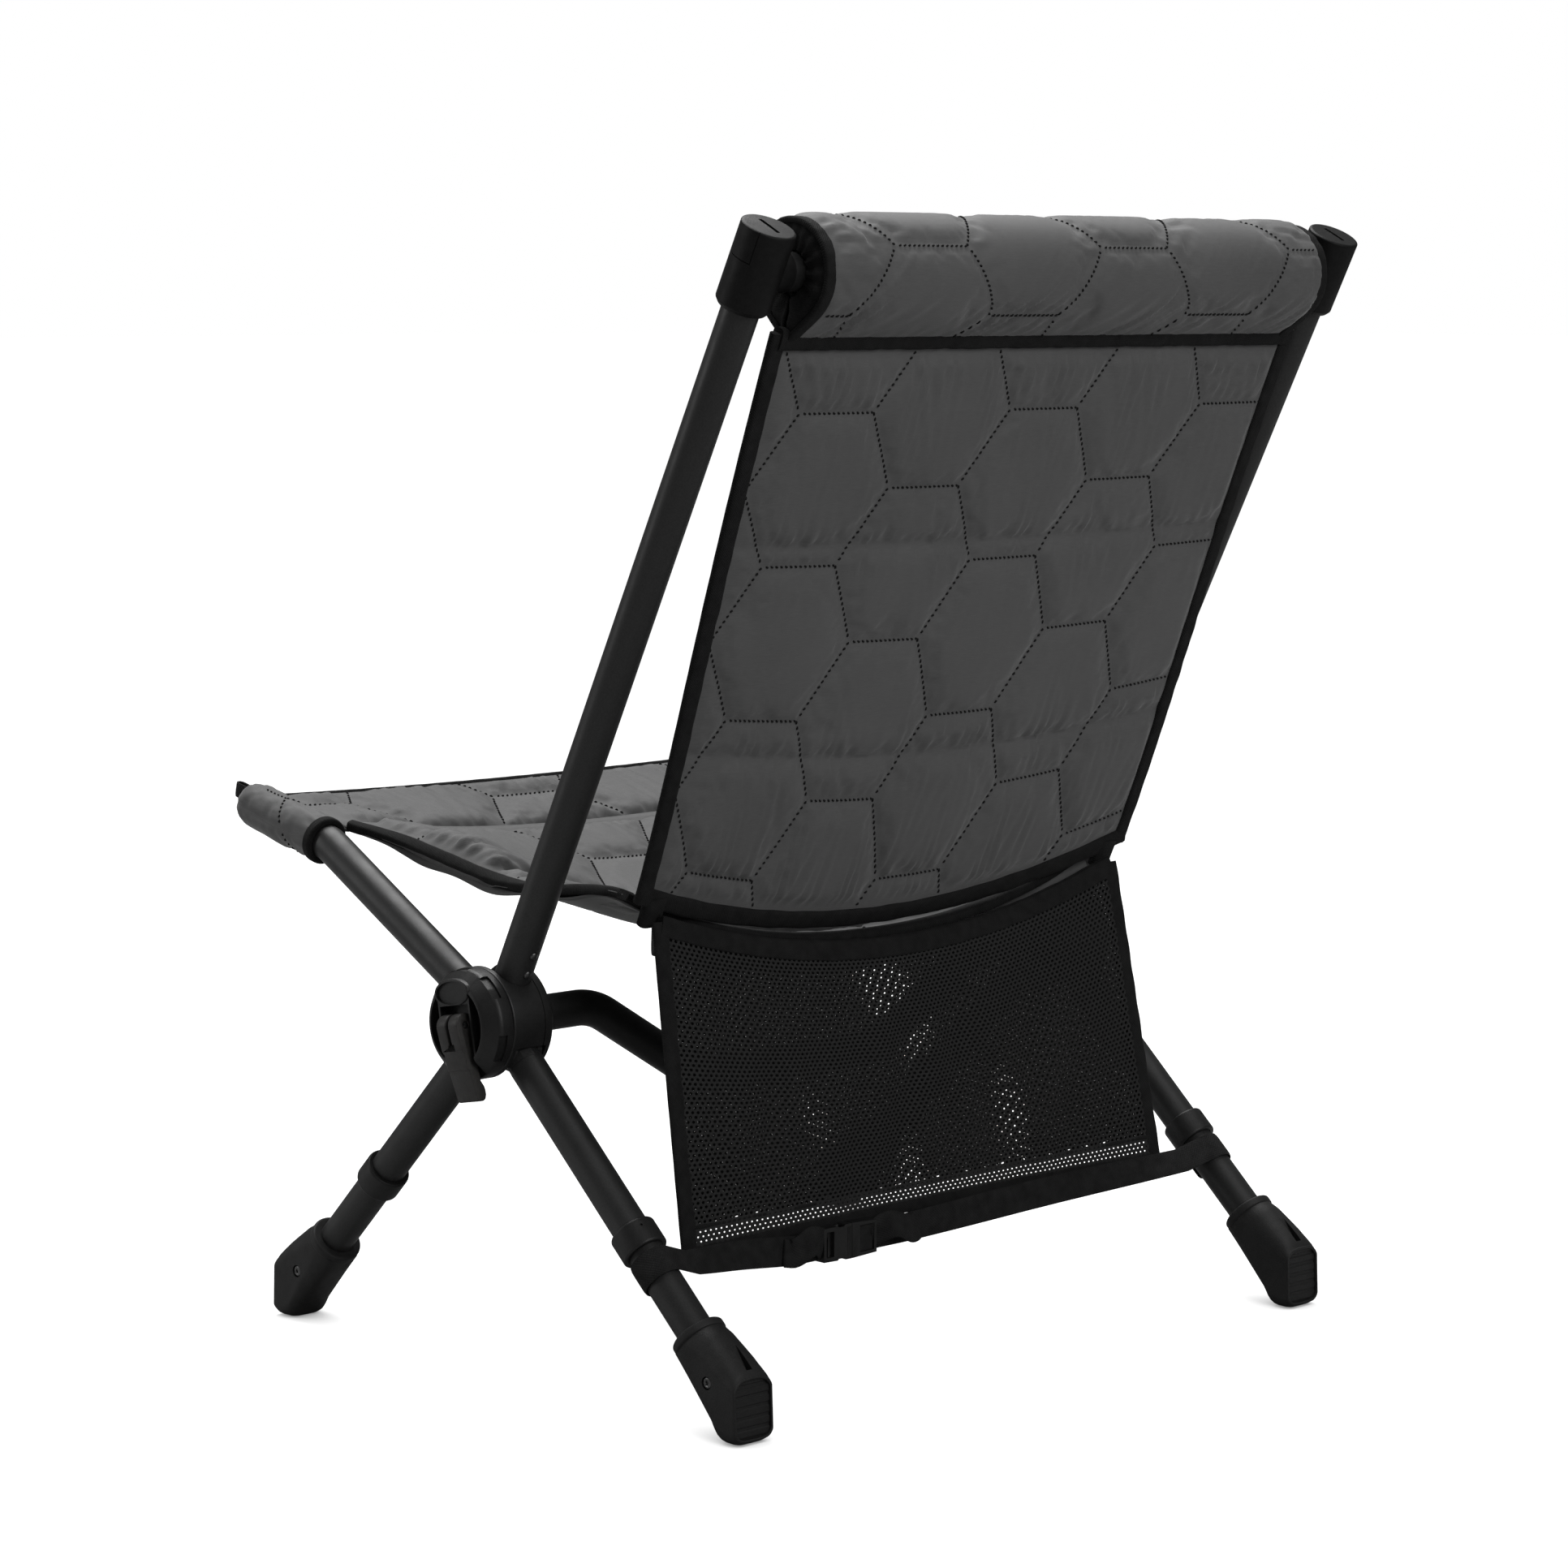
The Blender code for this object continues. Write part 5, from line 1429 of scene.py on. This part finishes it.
def mesh_pocket():
    for layer in (0, 1):
        made = joined_loosely(net(layer))
        if layer == 0:
            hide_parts("mesh_pocket")

    def middle(u, s):
        return (net_base(u, s, 0) + net_base(u, s, 1)) / 2

    for name, ends, count, width in (("side_left", (1, 0, 1, NET_DEPTH), 90, 13),
                                     ("side_right", (-1, 0, -1, NET_DEPTH), 90, 13),
                                     ("low", (-1.01, NET_DEPTH, 1.01, NET_DEPTH), 160, 9),
                                     ("seam", (-1, NET_SEAM, 1, NET_SEAM), 160, 3)):
        band = edge_band("pocket_binding_" + name, middle, ends, count, width, 4.4, 91)
        joined_loosely(band)
    for layer, name in enumerate(("rear", "front")):
        band = edge_band("pocket_rim_" + name, lambda u, s, k=layer: net_base(u, s, k),
                         (-1, 2 * MM, 1, 2 * MM), 160, 14, 2.6, 95 + layer)
        joined_loosely(band)


# ---------------------------------------------------------------- strap
STRAP_Y, BUCKLE_X, BUCKLE_Z = 163.4 * MM, 97 * MM, 91 * MM


def strap(name, side, inner_end):
    """Webbing from the buckle to a loop round the rear leg, below its ring."""
    centre = spot(REAR_LEG_ANGLE, ankle(REAR_LEG_ANGLE) - 56 * MM)
    down, back = direction(REAR_LEG_ANGLE), direction(REAR_LEG_ANGLE - 90)
    up = Vector((0, 0, 1))
    start = Vector((inner_end, STRAP_Y, BUCKLE_Z))
    level_end = start + Vector((30 * MM, 0, 0))
    tail = Vector((HUB.x - 30 * MM, centre.y, centre.z)) + back * (1.4 * MM)
    path, heights = [start.lerp(level_end, i / 10) for i in range(10)], [up] * 10
    steps = 60
    for i in range(steps + 1):
        t = i / steps
        path.append(level_end.lerp(tail, t) + Vector((0, 0.5 * MM * sin(9 * t), 1.0 * MM * sin(pi * t))))
        heights.append(up.lerp(-down, t).normalized())
    for i in range(49):
        turn = radians(120 - 240 * i / 48)
        path.append(centre + (OUT * cos(turn) + back * sin(turn)) * (TUBE_R + 1.4 * MM))
        heights.append(-down)
    outline = [(float(w) * sign * 10, sign * (0.8 - 0.5 * abs(float(w)) ** 8))
               for sign in (1, -1) for w in np.linspace(-1, 1, 11)]
    points, flat, run = [], [], 0.0
    for i, point in enumerate(path):
        tangent = tangent_at(path, i)
        normal = tangent.cross(heights[i]).normalized()
        width = normal.cross(tangent).normalized()
        if i:
            run += (point - path[i - 1]).length
        for across, out_by in outline:
            points.append(point + width * (across * MM) + normal * (out_by * MM))
            flat.append((run, across * MM))
    faces = grid_faces(len(path), len(outline)) + end_caps(len(points), len(outline))
    band = outward(new_object("strap_%s_webbing" % name, points, faces, WEBBING, 40, flat))
    shown(mirrored(band, side), "rear_legs", "black_webbing", "strap_" + name)


mesh_pocket()
strap("left", 1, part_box("strap_left")[0].x)
strap("right", -1, -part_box("strap_right")[1].x)


def buckle_block(x_range, half_thick, z_range, taper=0.0):
    """Block in the buckle's frame, in millimetres from the parting line; taper narrows its far end."""
    rings = []
    for x, less in zip(x_range, (0.0, taper)):
        low, high = z_range[0] + less, z_range[1] - less
        corners = ((-half_thick, low), (half_thick, low), (half_thick, high), (-half_thick, high))
        rings.append([Vector((BUCKLE_X + x * MM, STRAP_Y + y * MM, BUCKLE_Z + z * MM)) for y, z in corners])
    return outward(new_object("block", *stacked(rings), PLASTIC, 30))


def buckle_prism(label, outline, sign, half):
    """Outline (x, z) in the buckle's frame as a piece; sign -1 turns it over, half is half its thickness."""
    line = [Vector((BUCKLE_X + x * MM, 0, BUCKLE_Z + sign * z * MM)) for x, z in outline]
    return prism(label, line, STRAP_Y - half * MM, STRAP_Y + half * MM, Vector((0, 1, 0)), PLASTIC)


def buckle():
    """Side-release buckle: a socket with side windows and a three-pronged plug, with slots for webbing."""
    socket = buckle_block((0, 26), 4.4, (-12.3, 12.3), 0.8)
    for sign in (1, -1):
        cut(socket, buckle_prism("scoop", ((5, 12.8), (7, 10.9), (12, 10.9), (14, 12.8)), sign, 6))
    cut(socket, buckle_block((16.5, 23.5), 6, (-8.8, 8.8)))
    cut(socket, buckle_block((18.6, 20.4), 2.2, (-9.6, 9.6)), operation="UNION")
    for x in (1.6, 3.4):
        for sign in (1, -1):
            ridge = buckle_block((x, x + 0.7), 0.5, (-10, 10))
            ridge.location.y = sign * 4.5 * MM
            bpy.context.view_layer.update()
            cut(socket, ridge)
    socket = softened(socket, 0.9 * MM)
    cut(socket, buckle_block((-5, 15.5), 2.6, (-9.5, 9.5)))
    cut(socket, buckle_block((6.5, 12.5), 2.5, (-20, 20)))
    socket.name = "buckle_socket_body"
    shown(socket, "rear_legs", "black_plastic", "buckle_socket")

    plug = buckle_block((-0.5, -24), 4.4, (-12.3, 12.3), 1.0)
    cut(plug, buckle_block((-21.5, -8), 6, (-9.2, 9.2)))
    cut(plug, buckle_block((-40, -6.5), 1.6, (-10.4, 10.4)))
    plug = softened(plug, 0.9 * MM)
    prong = ((-2, 6), (10, 6), (13.5, 7), (15, 8.2), (12.2, 9.3), (10.8, 9.2), (8.5, 8.2), (-2, 8.4))
    prongs = [buckle_block((-2, 14.5), 2.0, (-1.4, 1.4), 0.4)]
    prongs += [buckle_prism("prong", prong, sign, 2) for sign in (1, -1)]
    cut(plug, *prongs, operation="UNION")
    fold = buckle_block((-21, -8.4), 2.9, (-9, 9))
    cut(fold, buckle_block((-40, 0), 1.7, (-12, 12)))
    fold.name = "buckle_plug_webbing"
    fold.data.materials.clear()
    fold.data.materials.append(WEBBING)
    shown(fold, "buckle_plug", "black_webbing")
    plug.name = "buckle_plug_body"
    shown(plug, "buckle_plug", "black_plastic", "buckle_plug")


def strap_tail(name, body, x_from, x_to, side):
    """Loose end of webbing beside the buckle, in a low arch."""
    steps = 26
    points, outs = [], []
    for i in range(steps + 1):
        t = i / steps
        lift = 9 * MM * sin(pi * min(t * 1.15, 1)) ** 1.3 * (1 - 0.3 * t)
        y = STRAP_Y + 2.4 * MM + 5.5 * MM * sin(pi * t) ** 1.2 + 1.0 * MM * t
        points.append((x_from + (x_to - x_from) * t, y, BUCKLE_Z + lift * 0.8 + 1.0 * MM * sin(7 * t)))
        outs.append((0.25 * side * cos(pi * t), 1.0, 0.45 * sin(2.4 * t + 0.4)))
    band = banding("strap_tail_" + name, np.array(points), np.array(outs), 19 * MM, 1.6 * MM, WEBBING,
                   wave=0.3 * MM, seed=113)
    shown(band, body, "black_webbing")


buckle()
strap_tail("left", "rear_legs", BUCKLE_X + 24 * MM, BUCKLE_X + 62 * MM, 1)
strap_tail("right", "buckle_plug", BUCKLE_X - 20 * MM, BUCKLE_X - 64 * MM, -1)


# ---------------------------------------------------------------- camera, light and floor
def camera_only(made, seen, bounced):
    """Strength that is one value for the camera and another for light that bounces."""
    path = add_node(made, "ShaderNodeLightPath")
    return spread(made, path.outputs["Is Camera Ray"], bounced, seen, 0, 1)


def studio():
    eye = bpy.data.objects.new("camera", bpy.data.cameras.new("camera"))
    bpy.context.scene.collection.objects.link(eye)
    azimuth, elevation = radians(136.83), radians(6.59)
    eye.location = (2.0605, 2.1935, 0.7292)
    ahead = Vector((-sin(azimuth) * cos(elevation), cos(azimuth) * cos(elevation), -sin(elevation)))
    eye.rotation_euler = ahead.to_track_quat("-Z", "Y").to_euler()
    eye.data.sensor_width = 36
    eye.data.lens = 97.17
    bpy.context.scene.camera = eye

    world = bpy.data.worlds.new("studio")
    world.use_nodes = True
    sky = world.node_tree.nodes["Background"]
    sky.inputs["Color"].default_value = (1, 1, 1, 1)
    world.node_tree.links.new(camera_only(world, 1.0, 0.14), sky.inputs["Strength"])
    bpy.context.scene.world = world
    bpy.context.scene.view_settings.view_transform = "Standard"

    size = 60.0
    pale, shader = shader_of("pale_floor", grey(0.35), 0.95)
    put(shader, {"Specular IOR Level": 0.0, "Emission Color": (1, 1, 1, 1)})
    # The floor glows white for the camera only; ambient occlusion dims that glow near the feet, a painted
    # contact shadow.
    painted_contact_shadow_ao = add_node(pale, "ShaderNodeAmbientOcclusion", Distance=0.045)
    painted_contact_shadow = spread(pale, painted_contact_shadow_ao.outputs["AO"], 0.25, 1.0, 0.1, 0.8)
    link(pale, maths(pale, "MULTIPLY", painted_contact_shadow, camera_only(pale, 1.0, 0.0)), shader.inputs["Emission Strength"])
    floor = new_object("floor", [(-size, -size, 0), (size, -size, 0), (size, size, 0), (-size, size, 0)],
                       [(0, 1, 2, 3)], pale)

    def lamp(name, where, target, energy, width, depth=None):
        light = bpy.data.lights.new(name, "AREA")
        light.energy = energy
        light.size = width
        if depth:
            light.shape = "RECTANGLE"
            light.size_y = depth
        made = bpy.data.objects.new(name, light)
        made.location = where
        made.rotation_euler = (Vector(target) - Vector(where)).to_track_quat("-Z", "Y").to_euler()
        bpy.context.scene.collection.objects.link(made)

    lamp("overhead", (-0.4, -0.9, 3.0), (0, 0, 0.3), 112, 2.4)
    lamp("side_strip", (2.3, -2.1, 1.2), (0.2, 0, 0.4), 15, 0.5, 1.8)
    lamp("camera_side", (0.3, 3.4, 2.2), (0, 0, 0.4), 56, 1.8)


studio()
